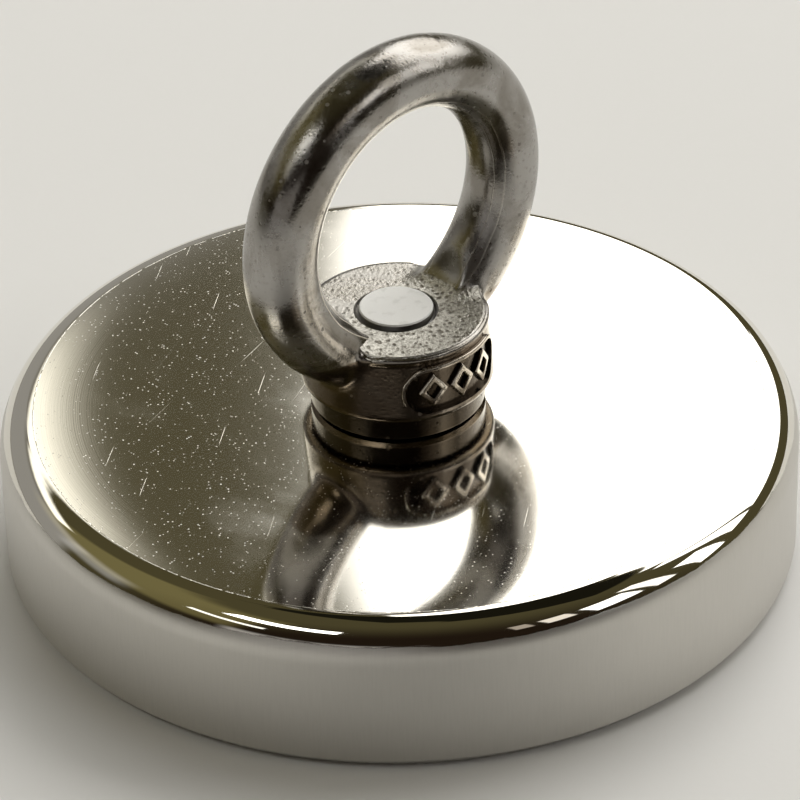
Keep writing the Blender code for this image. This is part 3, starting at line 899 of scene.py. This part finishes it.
class MAGNET_OT_cup(bpy.types.Operator):
    """Turns the nickel-plated steel cup with its flat back, polished rim and ground working edge"""

    bl_idname = "object.magnet_cup"
    bl_label = "Steel Cup"

    def execute(self, context):
        sizes = context.scene.magnet_pot
        outer = POT_HIGH.x
        top = POT_HIGH.z
        cavity = outer - sizes.wall
        roof = top - sizes.roof
        edge = outer - sizes.rim_width
        centre = (edge, top - sizes.rim_drop)
        slope = math.degrees(sizes.crease)
        rim = arc(centre, (sizes.rim_width, sizes.rim_drop), 0, 90 - slope, 26)
        flat = rim[-1][1] + 0.02 * MM
        step = sizes.edge_break
        outline = [
            (cavity + step, 0),
            (outer - sizes.foot_bevel - 0.12 * MM, 0),
            (outer - sizes.foot_bevel + 0.05 * MM, 0.08 * MM),
            (outer - 0.08 * MM, sizes.foot_bevel - 0.05 * MM),
            (outer, sizes.foot_bevel + 0.12 * MM),
            (outer, (sizes.foot_bevel + centre[1]) / 2),
            *rim,
            (rim[-1][0] - 0.06 * MM, flat),
            *(
                (rim[-1][0] - reach * MM, flat + sizes.crown * (1 - (1 - reach / 11) ** 3))
                for reach in (0.7, 1.4, 2.2, 3, 4, 5, 6, 7.5, 9, 11)
            ),
            (sizes.screw_hole + step, flat + sizes.crown),
            (sizes.screw_hole, flat + sizes.crown - step),
            (sizes.screw_hole, roof),
            *arc((cavity - sizes.corner, roof - sizes.corner), (sizes.corner, sizes.corner), 90, 0, 8),
            (cavity, step),
        ]
        cup = smooth(turned("nickel_cup", outline, POT_STEPS), math.radians(20))
        material = nickel_cup_material(sizes, context.scene.magnet_finishes)
        dress(cup, "pot", "nickel_plated_steel", material, "steel_pot")
        return {"FINISHED"}


class MAGNET_OT_potted_magnet(bpy.types.Operator):
    """Makes the ring magnet, the resin round it and in its bore, and finishes the adhesive behind it"""

    bl_idname = "object.magnet_ring"
    bl_label = "Ring Magnet and Resin"

    def execute(self, context):
        sizes = context.scene.magnet_pot
        finish = context.scene.magnet_finishes
        outer = MAGNET_HIGH.x
        bore = CENTRE_POTTING_HIGH.x + sizes.edge_break
        bevel = sizes.magnet_bevel
        low, high = MAGNET_LOW.z, MAGNET_HIGH.z
        outline = [
            *arc((outer - bevel, low + bevel), (bevel, bevel), -90, 0, 6),
            *arc((outer - bevel, high - bevel), (bevel, bevel), 0, 90, 6),
            *arc((bore + bevel, high - bevel), (bevel, bevel), 90, 180, 6),
            *arc((bore + bevel, low + bevel), (bevel, bevel), 180, 270, 6),
        ]
        magnet = smooth(turned("sintered_ring_magnet", outline, POT_STEPS))
        dress(magnet, "pot", "nickel_plated_magnet", magnet_material(finish), "ring_magnet")

        resin = resin_material("potting_resin", finish.resin, 0.12, 0.06 * MM)
        for name, node, low, high, inside in (
            ("rim_resin", "rim_potting", RIM_POTTING_LOW, RIM_POTTING_HIGH, MAGNET_HIGH),
            ("bore_resin", "centre_potting", CENTRE_POTTING_LOW, CENTRE_POTTING_HIGH, BUSH_HIGH),
        ):
            inner = inside.x + sizes.edge_break
            outer = high.x
            middle = (inner + outer) / 2
            half = (outer - inner) / 2
            face = [
                (middle + half * math.cos(turn), low.z + sizes.meniscus * math.sin(math.pi - turn))
                for turn in (math.radians(angle) for angle in range(180, -1, -15))
            ]
            corner = sizes.corner if node == "rim_potting" else sizes.edge_break
            outline = [*face, (outer, high.z - corner), (outer - corner, high.z), (inner, high.z)]
            piece = smooth(turned(name, outline, POT_STEPS))
            dress(piece, "pot", "potting_resin", resin, node)

        adhesive = frame["nodes"]["adhesive_bed"]
        material = resin_material("cured_adhesive", finish.adhesive, 0.4, 0.1 * MM)
        for slot in adhesive.material_slots:
            slot.material = material
        return {"FINISHED"}


class MAGNET_OT_bush(bpy.types.Operator):
    """Turns the countersunk bush that carries the screw's head"""

    bl_idname = "object.magnet_bush"
    bl_label = "Countersunk Bush"

    def execute(self, context):
        sizes = context.scene.magnet_pot
        screw = context.scene.magnet_screw
        step = sizes.edge_break
        outer = BUSH_HIGH.x
        low, high = BUSH_LOW.z, BUSH_HIGH.z
        mouth = SCREW_HIGH.x + step * math.sqrt(2)
        cone = SCREW_LOW.z + screw.land
        outline = [
            (mouth + 0.1 * MM, low),
            *arc((outer - step, low + step), (step, step), -90, 0, 4),
            (outer, high - step),
            (outer - step, high),
            (sizes.screw_hole, high),
            (sizes.screw_hole, cone + mouth - sizes.screw_hole),
            (mouth, cone),
            (mouth, low + 0.1 * MM),
        ]
        bush = smooth(turned("turned_bush", outline, BUSH_STEPS))
        material = lathe_material("turned_bush_steel", (0.56, 0.55, 0.53), 0.3, 4200.0, 0.004 * MM)
        dress(bush, "pot", "bush_steel", material, "centre_bush")
        return {"FINISHED"}


def helical_ridge(name, outline, start, turns, pitch):
    """One closed thread ridge: its section swept up a helix by the Screw modifier, both ends filled."""
    deselect()
    points = [Vector((radius, 0, start + height)) for radius, height in outline]
    bpy.ops.mesh.primitive_plane_add(size=MM, location=points[0])
    ridge = named(name)
    bpy.ops.object.mode_set(mode="EDIT")
    bpy.ops.mesh.select_all(action="SELECT")
    bpy.ops.mesh.merge(type="CENTER")
    for here, there in zip(points, points[1:] + points[:1]):
        bpy.ops.mesh.extrude_region_move(TRANSFORM_OT_translate={"value": there - here})
    bpy.ops.mesh.select_all(action="SELECT")
    bpy.ops.mesh.remove_doubles(threshold=MERGE)
    bpy.ops.object.mode_set(mode="OBJECT")
    settle(ridge)
    modifier = ridge.modifiers.new("helix", "SCREW")
    modifier.axis = "Z"
    modifier.angle = TURN
    modifier.screw_offset = pitch
    modifier.iterations = turns
    modifier.steps = THREAD_STEPS
    modifier.render_steps = THREAD_STEPS
    modifier.use_merge_vertices = False
    apply_modifier(ridge, modifier)
    bpy.ops.object.mode_set(mode="EDIT")
    bpy.ops.mesh.select_all(action="DESELECT")
    select_mode("EDGE")
    bpy.ops.mesh.select_non_manifold(extend=False, use_wire=False, use_boundary=True, use_multi_face=False,
                                     use_non_contiguous=False, use_verts=False)
    bpy.ops.mesh.fill_holes(sides=0)
    select_mode("VERT")
    bpy.ops.mesh.select_all(action="SELECT")
    bpy.ops.mesh.normals_make_consistent(inside=False)
    bpy.ops.object.mode_set(mode="OBJECT")
    return ridge


def thread_section(root, crest, pitch, sink):
    """60-degree thread ridge, a little narrower than the pitch, its foot sunk into the core."""
    foot = pitch * 0.46
    land = pitch * 0.12
    return [
        (root - sink, -foot),
        (root, -foot),
        (crest, -land),
        (crest, land),
        (root, foot),
        (root - sink, foot),
    ]


class MAGNET_OT_screw(bpy.types.Operator):
    """Makes the countersunk socket screw with its rolled thread and bevelled point"""

    bl_idname = "object.magnet_screw"
    bl_label = "Countersunk Screw"

    def execute(self, context):
        sizes = context.scene.magnet_screw
        head = SCREW_HIGH.x
        low, high = SCREW_LOW.z, SCREW_HIGH.z
        cone = low + sizes.land
        neck = cone + head - sizes.neck
        step = 0.15 * MM
        blank = [
            (head - step, low),
            (head, low + step),
            (head, cone - 0.05 * MM),
            (head - 0.05 * MM, cone + 0.05 * MM),
            (sizes.neck, neck),
            (sizes.neck, neck + sizes.neck_height),
            (sizes.root, neck + sizes.neck_height + 0.5 * MM),
            (sizes.root, neck + sizes.neck_height + MM),
            (sizes.root, high - sizes.point_length),
            (sizes.point_radius, high - sizes.point_length + 0.3 * MM),
            (sizes.point_radius, high + MM),
        ]
        screw = rod("socket_screw", blank, COLLAR_STEPS)
        section = thread_section(sizes.root, sizes.crest, sizes.pitch, 0.3 * MM)
        turns = math.ceil((high - neck) / sizes.pitch)
        ridge = helical_ridge("thread_ridge", section, neck + 0.4 * MM, turns, sizes.pitch)
        combine(screw, ridge, "UNION")
        point = [
            (head + MM, low - MM),
            (head + MM, high - sizes.point_length - (head + MM - sizes.crest)),
            (sizes.crest + 0.02 * MM, high - sizes.point_length),
            (sizes.point_radius + 0.14 * MM, high - 0.75 * MM),
            (sizes.point_radius, high - 0.18 * MM),
            (sizes.point_radius - 0.16 * MM, high),
        ]
        combine(screw, rod("point_gauge", point, COLLAR_STEPS + 8), "INTERSECT")
        deselect()
        corner = sizes.socket_flats / 2 / math.cos(math.radians(30))
        bpy.ops.mesh.primitive_cylinder_add(
            vertices=6,
            radius=corner,
            depth=sizes.socket_depth + MM,
            location=(0, 0, low + (sizes.socket_depth - MM) / 2),
            rotation=(0, 0, math.radians(30)),
        )
        socket = named("socket_cutter")
        bpy.ops.object.mode_set(mode="EDIT")
        choose(socket, lambda middle, normal: normal.z > 0.9)
        bpy.ops.mesh.inset(thickness=corner * 0.85)
        bpy.ops.transform.translate(value=(0, 0, 0.8 * MM))
        bpy.ops.object.mode_set(mode="OBJECT")
        settle(socket)
        combine(screw, socket, "DIFFERENCE")
        chamfer = [(corner + 0.25 * MM, low - 0.1 * MM), (corner - 0.25 * MM, low + 0.4 * MM)]
        combine(screw, rod("socket_chamfer", chamfer, 96), "DIFFERENCE")
        smooth(screw, math.radians(28))
        material = screw_material(context.scene.magnet_finishes)
        dress(screw, "screw", "screw_steel", material, "countersunk_screw")
        return {"FINISHED"}


def wrap(piece, radius):
    """Wraps a flat piece, its depth along Y, round the collar: X becomes arc length."""
    for vertex in piece.data.vertices:
        turn = vertex.co.x / radius
        reach = radius - vertex.co.y
        vertex.co.x = reach * math.sin(turn)
        vertex.co.y = -reach * math.cos(turn)
    piece.data.update()


def pill(name, half_height, half_width, radius, middle, front, back, bevel):
    """Pill-shaped block wrapped round the collar, from front to back in depth under the collar's side."""
    deselect()
    bpy.ops.mesh.primitive_circle_add(vertices=96, radius=half_height, fill_type="NGON", location=(0, 0, 0))
    block = named(name)
    bpy.ops.object.mode_set(mode="EDIT")
    for sign in (-1, 1):
        choose(block, lambda place, _: place.x * sign > 1e-7, "vertices")
        bpy.ops.transform.translate(value=(sign * (half_width - half_height), 0, 0))
    for cut in range(-12, 13):
        bpy.ops.mesh.select_all(action="SELECT")
        bpy.ops.mesh.bisect(plane_co=(cut * half_width / 13, 0, 0), plane_no=(1, 0, 0))
    bpy.ops.mesh.select_all(action="SELECT")
    bpy.ops.mesh.extrude_region_move(TRANSFORM_OT_translate={"value": (0, 0, back - front)})
    bpy.ops.mesh.select_all(action="SELECT")
    bpy.ops.mesh.normals_make_consistent(inside=False)
    if bevel:

        def on_rim(place, way):
            flat = abs(way.z) < 0.1 and place.z < bevel / 2
            return flat and on_outline(place, half_height, half_width)

        choose(block, on_rim, "edges")
        bpy.ops.mesh.bevel(offset=bevel, segments=3, affect="EDGES")
    bpy.ops.object.mode_set(mode="OBJECT")
    for vertex in block.data.vertices:
        across, up, deep = vertex.co
        vertex.co = (across, front + deep, middle + up)
    wrap(block, radius)
    return close_up(block)


def on_outline(place, half_height, half_width):
    """True for a point on the edge of a pill."""
    straight = max(0.0, abs(place.x) - (half_width - half_height))
    return math.hypot(straight, place.y) > half_height * 0.985


def raised_mark(sizes, radius, middle, place):
    """One hollow raised lozenge in the panel, its upper edges rounded."""
    deselect()
    bpy.ops.mesh.primitive_circle_add(vertices=4, radius=1, fill_type="NGON")
    mark = named("raised_mark")
    bpy.ops.object.mode_set(mode="EDIT")
    bpy.ops.mesh.select_all(action="SELECT")
    bpy.ops.transform.resize(value=(sizes.mark_width / 2, sizes.mark_height / 2, 1))
    bpy.ops.mesh.inset(thickness=sizes.mark_stroke)
    bpy.ops.mesh.delete(type="FACE")
    bpy.ops.mesh.select_all(action="SELECT")
    rise = (0, 0, sizes.panel_depth + 0.35 * MM)
    bpy.ops.mesh.extrude_region_move(TRANSFORM_OT_translate={"value": rise})
    bpy.ops.mesh.select_all(action="SELECT")
    bpy.ops.mesh.normals_make_consistent(inside=False)
    choose(mark, lambda spot, way: spot.z < 1e-6 and abs(way.x) > 0.1 and on_lozenge(spot, sizes), "edges")
    bpy.ops.mesh.bevel(offset=0.17 * MM, segments=3, affect="EDGES")
    bpy.ops.mesh.select_all(action="SELECT")
    bpy.ops.mesh.subdivide(number_cuts=3)
    bpy.ops.object.mode_set(mode="OBJECT")
    for vertex in mark.data.vertices:
        across, up, deep = vertex.co
        vertex.co = (place + across, deep - 0.12 * MM, middle + up)
    wrap(mark, radius)
    return close_up(mark)


def on_lozenge(spot, sizes):
    """True for a point on the outer or inner outline of a lozenge, not on the joint between its sides."""
    share_out = abs(spot.x) / (sizes.mark_width / 2) + abs(spot.y) / (sizes.mark_height / 2)
    slant = math.hypot(2 / sizes.mark_width, 2 / sizes.mark_height)
    share_in = 1 - sizes.mark_stroke * slant
    return abs(share_out - 1) < 0.01 or abs(share_out - share_in) < 0.01


def collar_outline(sizes, seat):
    """The collar above the machined foot: its rounded lower edge, draft and the bead at its top."""
    shoulder = seat + sizes.foot_height
    top = seat + sizes.collar_height
    corner = 0.6 * MM
    half = sizes.bead / 2
    return [
        (sizes.foot_radius - 0.9 * MM, shoulder - 0.12 * MM),
        (sizes.foot_radius - 0.5 * MM, shoulder + 0.10 * MM),
        *arc((sizes.collar_lower - corner, shoulder + corner), (corner, corner), -75, 0, 6),
        (sizes.collar_upper, top - sizes.bead - sizes.bead_overhang),
        (sizes.collar_upper - 0.08 * MM, top - sizes.bead),
        *arc((sizes.collar_upper + sizes.bead_overhang - half, top - half), (half, half), -50, 90, 8),
    ]


def eye_blank(sizes, centre):
    """The eye: a round section spun round Y, then drawn to its oval."""
    wire = sizes.wire / 2
    mean = (sizes.eye_inner_width + sizes.eye_inner_height) / 4 + wire
    deselect()
    bpy.ops.mesh.primitive_circle_add(vertices=WIRE_STEPS, radius=wire, location=(mean, 0, centre))
    eye = named("eye_blank")
    bpy.ops.object.mode_set(mode="EDIT")
    choose(eye, lambda place, _: place.x < -wire * 0.975, "vertices")
    bpy.ops.transform.resize(value=(0, 1, 1), center_override=(mean - wire * 0.975, 0, centre))
    bpy.ops.mesh.select_all(action="SELECT")
    bpy.ops.mesh.spin(steps=EYE_STEPS, angle=TURN, center=(0, 0, centre), axis=(0, 1, 0))
    bpy.ops.mesh.select_all(action="SELECT")
    outer = mean + wire
    stretch = (
        (sizes.eye_inner_width / 2 + sizes.wire) / outer,
        1,
        (sizes.eye_inner_height / 2 + sizes.wire) / outer,
    )
    bpy.ops.transform.resize(value=stretch, center_override=(0, 0, centre))
    bpy.ops.object.mode_set(mode="OBJECT")
    settle(eye)
    return close_up(eye)


class MAGNET_OT_eye_nut(bpy.types.Operator):
    """Makes the cast eye nut: eye and collar blended as one casting, a machined foot and a tapped bore"""

    bl_idname = "object.magnet_eye_nut"
    bl_label = "Eye Nut"

    def execute(self, context):
        sizes = context.scene.magnet_nut
        screw = context.scene.magnet_screw
        seat = NUT_LOW.z
        top = seat + sizes.collar_height
        centre = NUT_HIGH.z - sizes.wire - sizes.eye_inner_height / 2
        shoulder = seat + sizes.foot_height
        casting = rod("eye_nut_casting", collar_outline(sizes, seat), COLLAR_STEPS)
        side = (sizes.collar_lower + sizes.collar_upper) / 2
        middle = (shoulder + top - sizes.bead) / 2 + 0.1 * MM
        combine(casting, eye_blank(sizes, centre), "UNION")
        reach = sizes.spot_face + sizes.spot_fillet
        face = [
            *arc((sizes.spot_face, top + sizes.spot_fillet), (sizes.spot_fillet,) * 2, -90, -18, 8),
            (reach + 0.9 * MM, top + sizes.spot_fillet + 1.5 * MM),
        ]
        combine(casting, rod("spot_facer", face, COLLAR_STEPS + 6), "DIFFERENCE")
        self.blend_casting(casting, sizes, centre, top, side)
        stroke = 0.42 * MM
        surround = pill("panel_surround", sizes.panel_height + stroke, side * sizes.panel_angle + stroke,
                        side, middle, -0.16 * MM, 0.6 * MM, 0.14 * MM)
        combine(casting, surround, "UNION")
        sunk = pill("panel_cutter", sizes.panel_height, side * sizes.panel_angle,
                    side, middle, -MM, sizes.panel_depth, 0)
        combine(casting, sunk, "DIFFERENCE")
        for place in (-1, 0, 1):
            mark = raised_mark(sizes, side, middle, place * (sizes.mark_width + 0.3 * MM))
            combine(casting, mark, "UNION")

        foot = [
            (sizes.foot_radius - sizes.foot_bevel, seat),
            (sizes.foot_radius, seat + sizes.foot_bevel),
            (sizes.foot_radius, shoulder - 0.35 * MM),
            (sizes.foot_radius - 0.35 * MM, shoulder - 0.05 * MM),
            (sizes.foot_radius - 1.2 * MM, shoulder + 0.6 * MM),
        ]
        combine(casting, rod("machined_foot", foot, COLLAR_STEPS + 4), "UNION")
        play = 0.2 * MM
        bore = [
            (screw.crest + 0.35 * MM, seat - MM),
            (screw.crest + 0.35 * MM, seat + 0.1 * MM),
            (screw.root + 0.35 * MM, seat + 0.9 * MM),
            (screw.root + 0.35 * MM, top - 0.4 * MM),
            (sizes.bore, top - 0.12 * MM),
            (sizes.bore + 0.3 * MM, top + 0.4 * MM),
        ]
        cutter = rod("tap_drill", bore, 120)
        section = thread_section(screw.root + play + 0.15 * MM, screw.crest + play, screw.pitch, 0.2 * MM)
        turns = math.floor((sizes.collar_height - 1.2 * MM) / screw.pitch)
        combine(cutter, helical_ridge("tap", section, seat + 0.75 * MM, turns, screw.pitch), "UNION")
        combine(casting, cutter, "DIFFERENCE")
        drop_chips(casting)
        smooth(casting, math.radians(34))
        material = cast_material(sizes, context.scene.magnet_finishes)
        dress(casting, "nut", "cast_stainless", material, "eye_nut")
        return {"FINISHED"}

    def blend_casting(self, casting, sizes, centre, top, side):
        """Remeshes the casting on a fine grid and softens it, most of all where the eye meets the collar."""
        remesh = casting.modifiers.new("grid", "REMESH")
        remesh.mode = "VOXEL"
        remesh.voxel_size = sizes.casting_grid
        remesh.use_smooth_shade = True
        apply_modifier(casting, remesh)
        wire = sizes.wire / 2
        mean = (sizes.eye_inner_width + sizes.eye_inner_height) / 4 + wire
        roots = casting.vertex_groups.new(name="roots")
        reach = 1.5 * MM
        weights = {}
        for vertex in casting.data.vertices:
            place = vertex.co
            off_eye = abs(math.hypot(math.hypot(place.x, place.z - centre) - mean, place.y) - wire)
            round_collar = math.hypot(place.x, place.y)
            off_side = math.hypot(round_collar - side, max(0.0, place.z - top))
            off_top = abs(place.z - top) if round_collar < side else off_side
            weight = 1 - max(off_eye, min(off_side, off_top)) / reach
            if top + 0.15 * MM < place.z < top + 6 * MM and round_collar < side:
                weight = 1.0
            elif top - 0.4 * MM < place.z and 6 * MM < round_collar and off_eye < 2 * MM:
                weight = max(weight, 0.5)
            if weight > 0.02 and abs(place.x) > 4.9 * MM:
                weights.setdefault(round(min(1.0, weight * 1.6), 1), []).append(vertex.index)
        for weight, indices in weights.items():
            roots.add(indices, weight, "REPLACE")
        for name, group, rounds in (("root_fillets", "roots", 90), ("tumbled", "", 5)):
            soften = casting.modifiers.new(name, "SMOOTH")
            soften.factor = 0.5
            soften.iterations = rounds
            soften.vertex_group = group
            apply_modifier(casting, soften)
        casting.vertex_groups.clear()


# Stage --------------------------------------------------------------------


def panel_group():
    """Soft-edged studio panel seen in a direction; all angles in radians."""
    graph, given, result = new_group(
        "studio_panel",
        {"Direction": None, "Azimuth": 0.0, "Half Width": 0.3, "Low": 0.0, "High": 0.6, "Edge": 0.03},
        ["Mask"],
    )
    facing = graph.add(
        "ShaderNodeVectorRotate",
        {"Vector": given["Direction"], "Angle": graph.calc("MULTIPLY", given["Azimuth"], -1.0)},
        rotation_type="Z_AXIS",
    ).outputs[0]
    parts = graph.add("ShaderNodeSeparateXYZ", {0: facing}).outputs
    sideways = graph.calc("ABSOLUTE", graph.calc("ARCTAN2", parts[1], parts[0]))
    rise = graph.calc("ARCSINE", parts[2])
    edge = given["Edge"]
    outer_edge = graph.calc("ADD", given["Half Width"], edge)
    across = graph.step(sideways, given["Half Width"], outer_edge, 1.0, 0.0)
    above = graph.step(rise, graph.calc("SUBTRACT", given["Low"], edge), given["Low"])
    below = graph.step(rise, given["High"], graph.calc("ADD", given["High"], edge), 1.0, 0.0)
    graph.set(result["Mask"], graph.calc("MULTIPLY", across, graph.calc("MULTIPLY", above, below)))
    return graph.tree


# azimuth, half width, lowest, highest, soft edge (degrees), colour, strength
PANELS = (
    (14, 33.5, 18, 57, 1.2, (1.0, 0.985, 0.95), 2.8),
    (80.2, 25, 33.0, 36, 3.2, (1.0, 0.97, 0.87), 1.6),
    (88, 34, 2, 26, 8.0, (0.95, 0.95, 1.0), 0.26),
    (184, 20, 51, 57, 1.0, (1.0, 1.0, 0.97), 4.5),
    (173, 12, 36.5, 39.5, 0.8, (1.0, 1.0, 0.97), 1.6),
    (140, 34, 28, 58, 10, (1.0, 0.86, 0.34), 0.11),
    (10, 60, 60, 84, 2.0, (0.066, 0.056, 0.025), -1.0),
    (-98, 2.5, 34, 43, 0.8, (0.80, 0.70, 0.60), 0.55),
    (-87, 4.0, 32, 42, 0.8, (0.95, 0.88, 0.80), 1.1),
    (-71, 7.0, 25, 40, 0.8, (1.0, 1.0, 1.0), 2.4),
    (-57, 3.0, 20, 46, 0.8, (1.0, 0.97, 0.92), 1.8),
    (-42, 4.5, 12, 34, 0.8, (1.0, 0.98, 0.95), 3.0),
    (-27, 4.0, 18, 52, 0.8, (1.0, 0.98, 0.95), 2.6),
    (205, 24, 4, 20, 6, (1.0, 0.97, 0.94), 0.35),
    (134, 6, 19, 26, 10, (0.98, 0.98, 1.0), 0.22),
)


def studio_world(settings):
    """Dark studio with bright panels in reflections, plain and pale where the camera looks."""
    world = bpy.data.worlds.new("studio")
    bpy.context.scene.world = world
    world.use_nodes = True
    tree = world.node_tree
    tree.nodes.clear()
    graph = Graph(tree)
    direction = graph.add("ShaderNodeTexCoord").outputs["Generated"]
    group = panel_group()
    far_side = (0.68, 0.73, 0.35)
    behind = graph.add("ShaderNodeVectorMath", {0: direction, 1: far_side}, operation="DOT_PRODUCT")
    towards = graph.step(behind.outputs["Value"], -0.55, 0.25)
    total = graph.tint(towards, (0.016, 0.010, 0.006), (0.076, 0.065, 0.030))
    for azimuth, half, low, high, edge, shade, strength in PANELS:
        values = {"Azimuth": azimuth, "Half Width": half, "Low": low, "High": high, "Edge": edge}
        angles = {key: math.radians(value) for key, value in values.items()}
        mask = graph.use(group, {"Direction": direction, **angles})["Mask"]
        lit = tuple(channel * strength * settings.studio for channel in shade)
        glow = graph.add("ShaderNodeVectorMath", {0: lit, "Scale": mask}, operation="SCALE").outputs[0]
        total = graph.add("ShaderNodeVectorMath", {0: total, 1: glow}, operation="ADD").outputs[0]
    reflected = graph.add("ShaderNodeBackground", {"Color": total, "Strength": 1.0})
    plain = graph.add("ShaderNodeBackground", {"Color": tuple(settings.backdrop), "Strength": 1.0})
    straight = graph.add("ShaderNodeLightPath").outputs["Is Camera Ray"]
    mixed = graph.add("ShaderNodeMixShader", {0: straight, 1: reflected.outputs[0], 2: plain.outputs[0]})
    output = graph.add("ShaderNodeOutputWorld")
    tree.links.new(mixed.outputs[0], output.inputs[0])


class MAGNET_OT_stage(bpy.types.Operator):
    """Sets up the floor, the studio light and the camera"""

    bl_idname = "object.magnet_stage"
    bl_label = "Stage"

    def execute(self, context):
        settings = context.scene.magnet_stage
        deselect()
        bpy.ops.mesh.primitive_circle_add(
            vertices=96, radius=1.6, fill_type="NGON", location=(0, 0, -0.05 * MM)
        )
        floor = settle(named("floor"))
        floor.data.materials.append(floor_material(tuple(settings.floor)))

        studio_world(settings)

        light = bpy.data.lights.new("overhead", "AREA")
        light.shape = "DISK"
        light.size = 0.9
        light.energy = settings.floor_light
        overhead = bpy.data.objects.new("overhead", light)
        overhead.location = (0.45, 0.25, 0.9)
        overhead.rotation_euler = (math.radians(-15), math.radians(26), 0)
        overhead.visible_glossy = False
        context.scene.collection.objects.link(overhead)

        data = bpy.data.cameras.new("camera")
        data.lens = settings.lens
        data.sensor_width = 36
        data.clip_start = 0.01
        camera = bpy.data.objects.new("camera", data)
        context.scene.collection.objects.link(camera)
        turn, rise, roll = settings.azimuth, settings.elevation, settings.roll
        back = Vector((math.sin(turn) * math.cos(rise), -math.cos(turn) * math.cos(rise), math.sin(rise)))
        level = Vector((math.cos(turn), math.sin(turn), 0))
        upright = back.cross(level)
        right = level * math.cos(roll) + upright * math.sin(roll)
        up = back.cross(right)
        place = Vector((0, 0, settings.aim)) + 0.18 * MM * right + back * settings.distance
        axes = Matrix((right, up, back)).transposed().to_4x4()
        camera.matrix_world = Matrix.Translation(place) @ axes
        context.scene.camera = camera
        context.scene.view_settings.view_transform = "Standard"
        return {"FINISHED"}


class MAGNET_PT_builder(bpy.types.Panel):
    """Lists the pieces and their sizes in the sidebar"""

    bl_idname = "MAGNET_PT_builder"
    bl_label = "Magnet Fishing Magnet"
    bl_space_type = "VIEW_3D"
    bl_region_type = "UI"
    bl_category = "Magnet"

    def draw(self, context):
        for operator in OPERATORS:
            self.layout.operator(operator.bl_idname)
        for name, group in GROUPS.items():
            box = self.layout.box()
            box.label(text=group.__doc__.rstrip("."))
            settings = getattr(context.scene, name)
            for key in group.__annotations__:
                box.prop(settings, key)


OPERATORS = (
    MAGNET_OT_cup,
    MAGNET_OT_potted_magnet,
    MAGNET_OT_bush,
    MAGNET_OT_screw,
    MAGNET_OT_eye_nut,
    MAGNET_OT_stage,
)


def register():
    for kind in (*GROUPS.values(), *OPERATORS, MAGNET_PT_builder):
        bpy.utils.register_class(kind)
    for name, group in GROUPS.items():
        setattr(bpy.types.Scene, name, bpy.props.PointerProperty(type=group))


def unregister():
    for name in GROUPS:
        delattr(bpy.types.Scene, name)
    for kind in reversed((*GROUPS.values(), *OPERATORS, MAGNET_PT_builder)):
        bpy.utils.unregister_class(kind)


def main():
    register()
    bpy.ops.object.magnet_cup()
    bpy.ops.object.magnet_ring()
    bpy.ops.object.magnet_bush()
    bpy.ops.object.magnet_screw()
    bpy.ops.object.magnet_eye_nut()
    bpy.ops.object.magnet_stage()


if __name__ == "__main__":
    main()
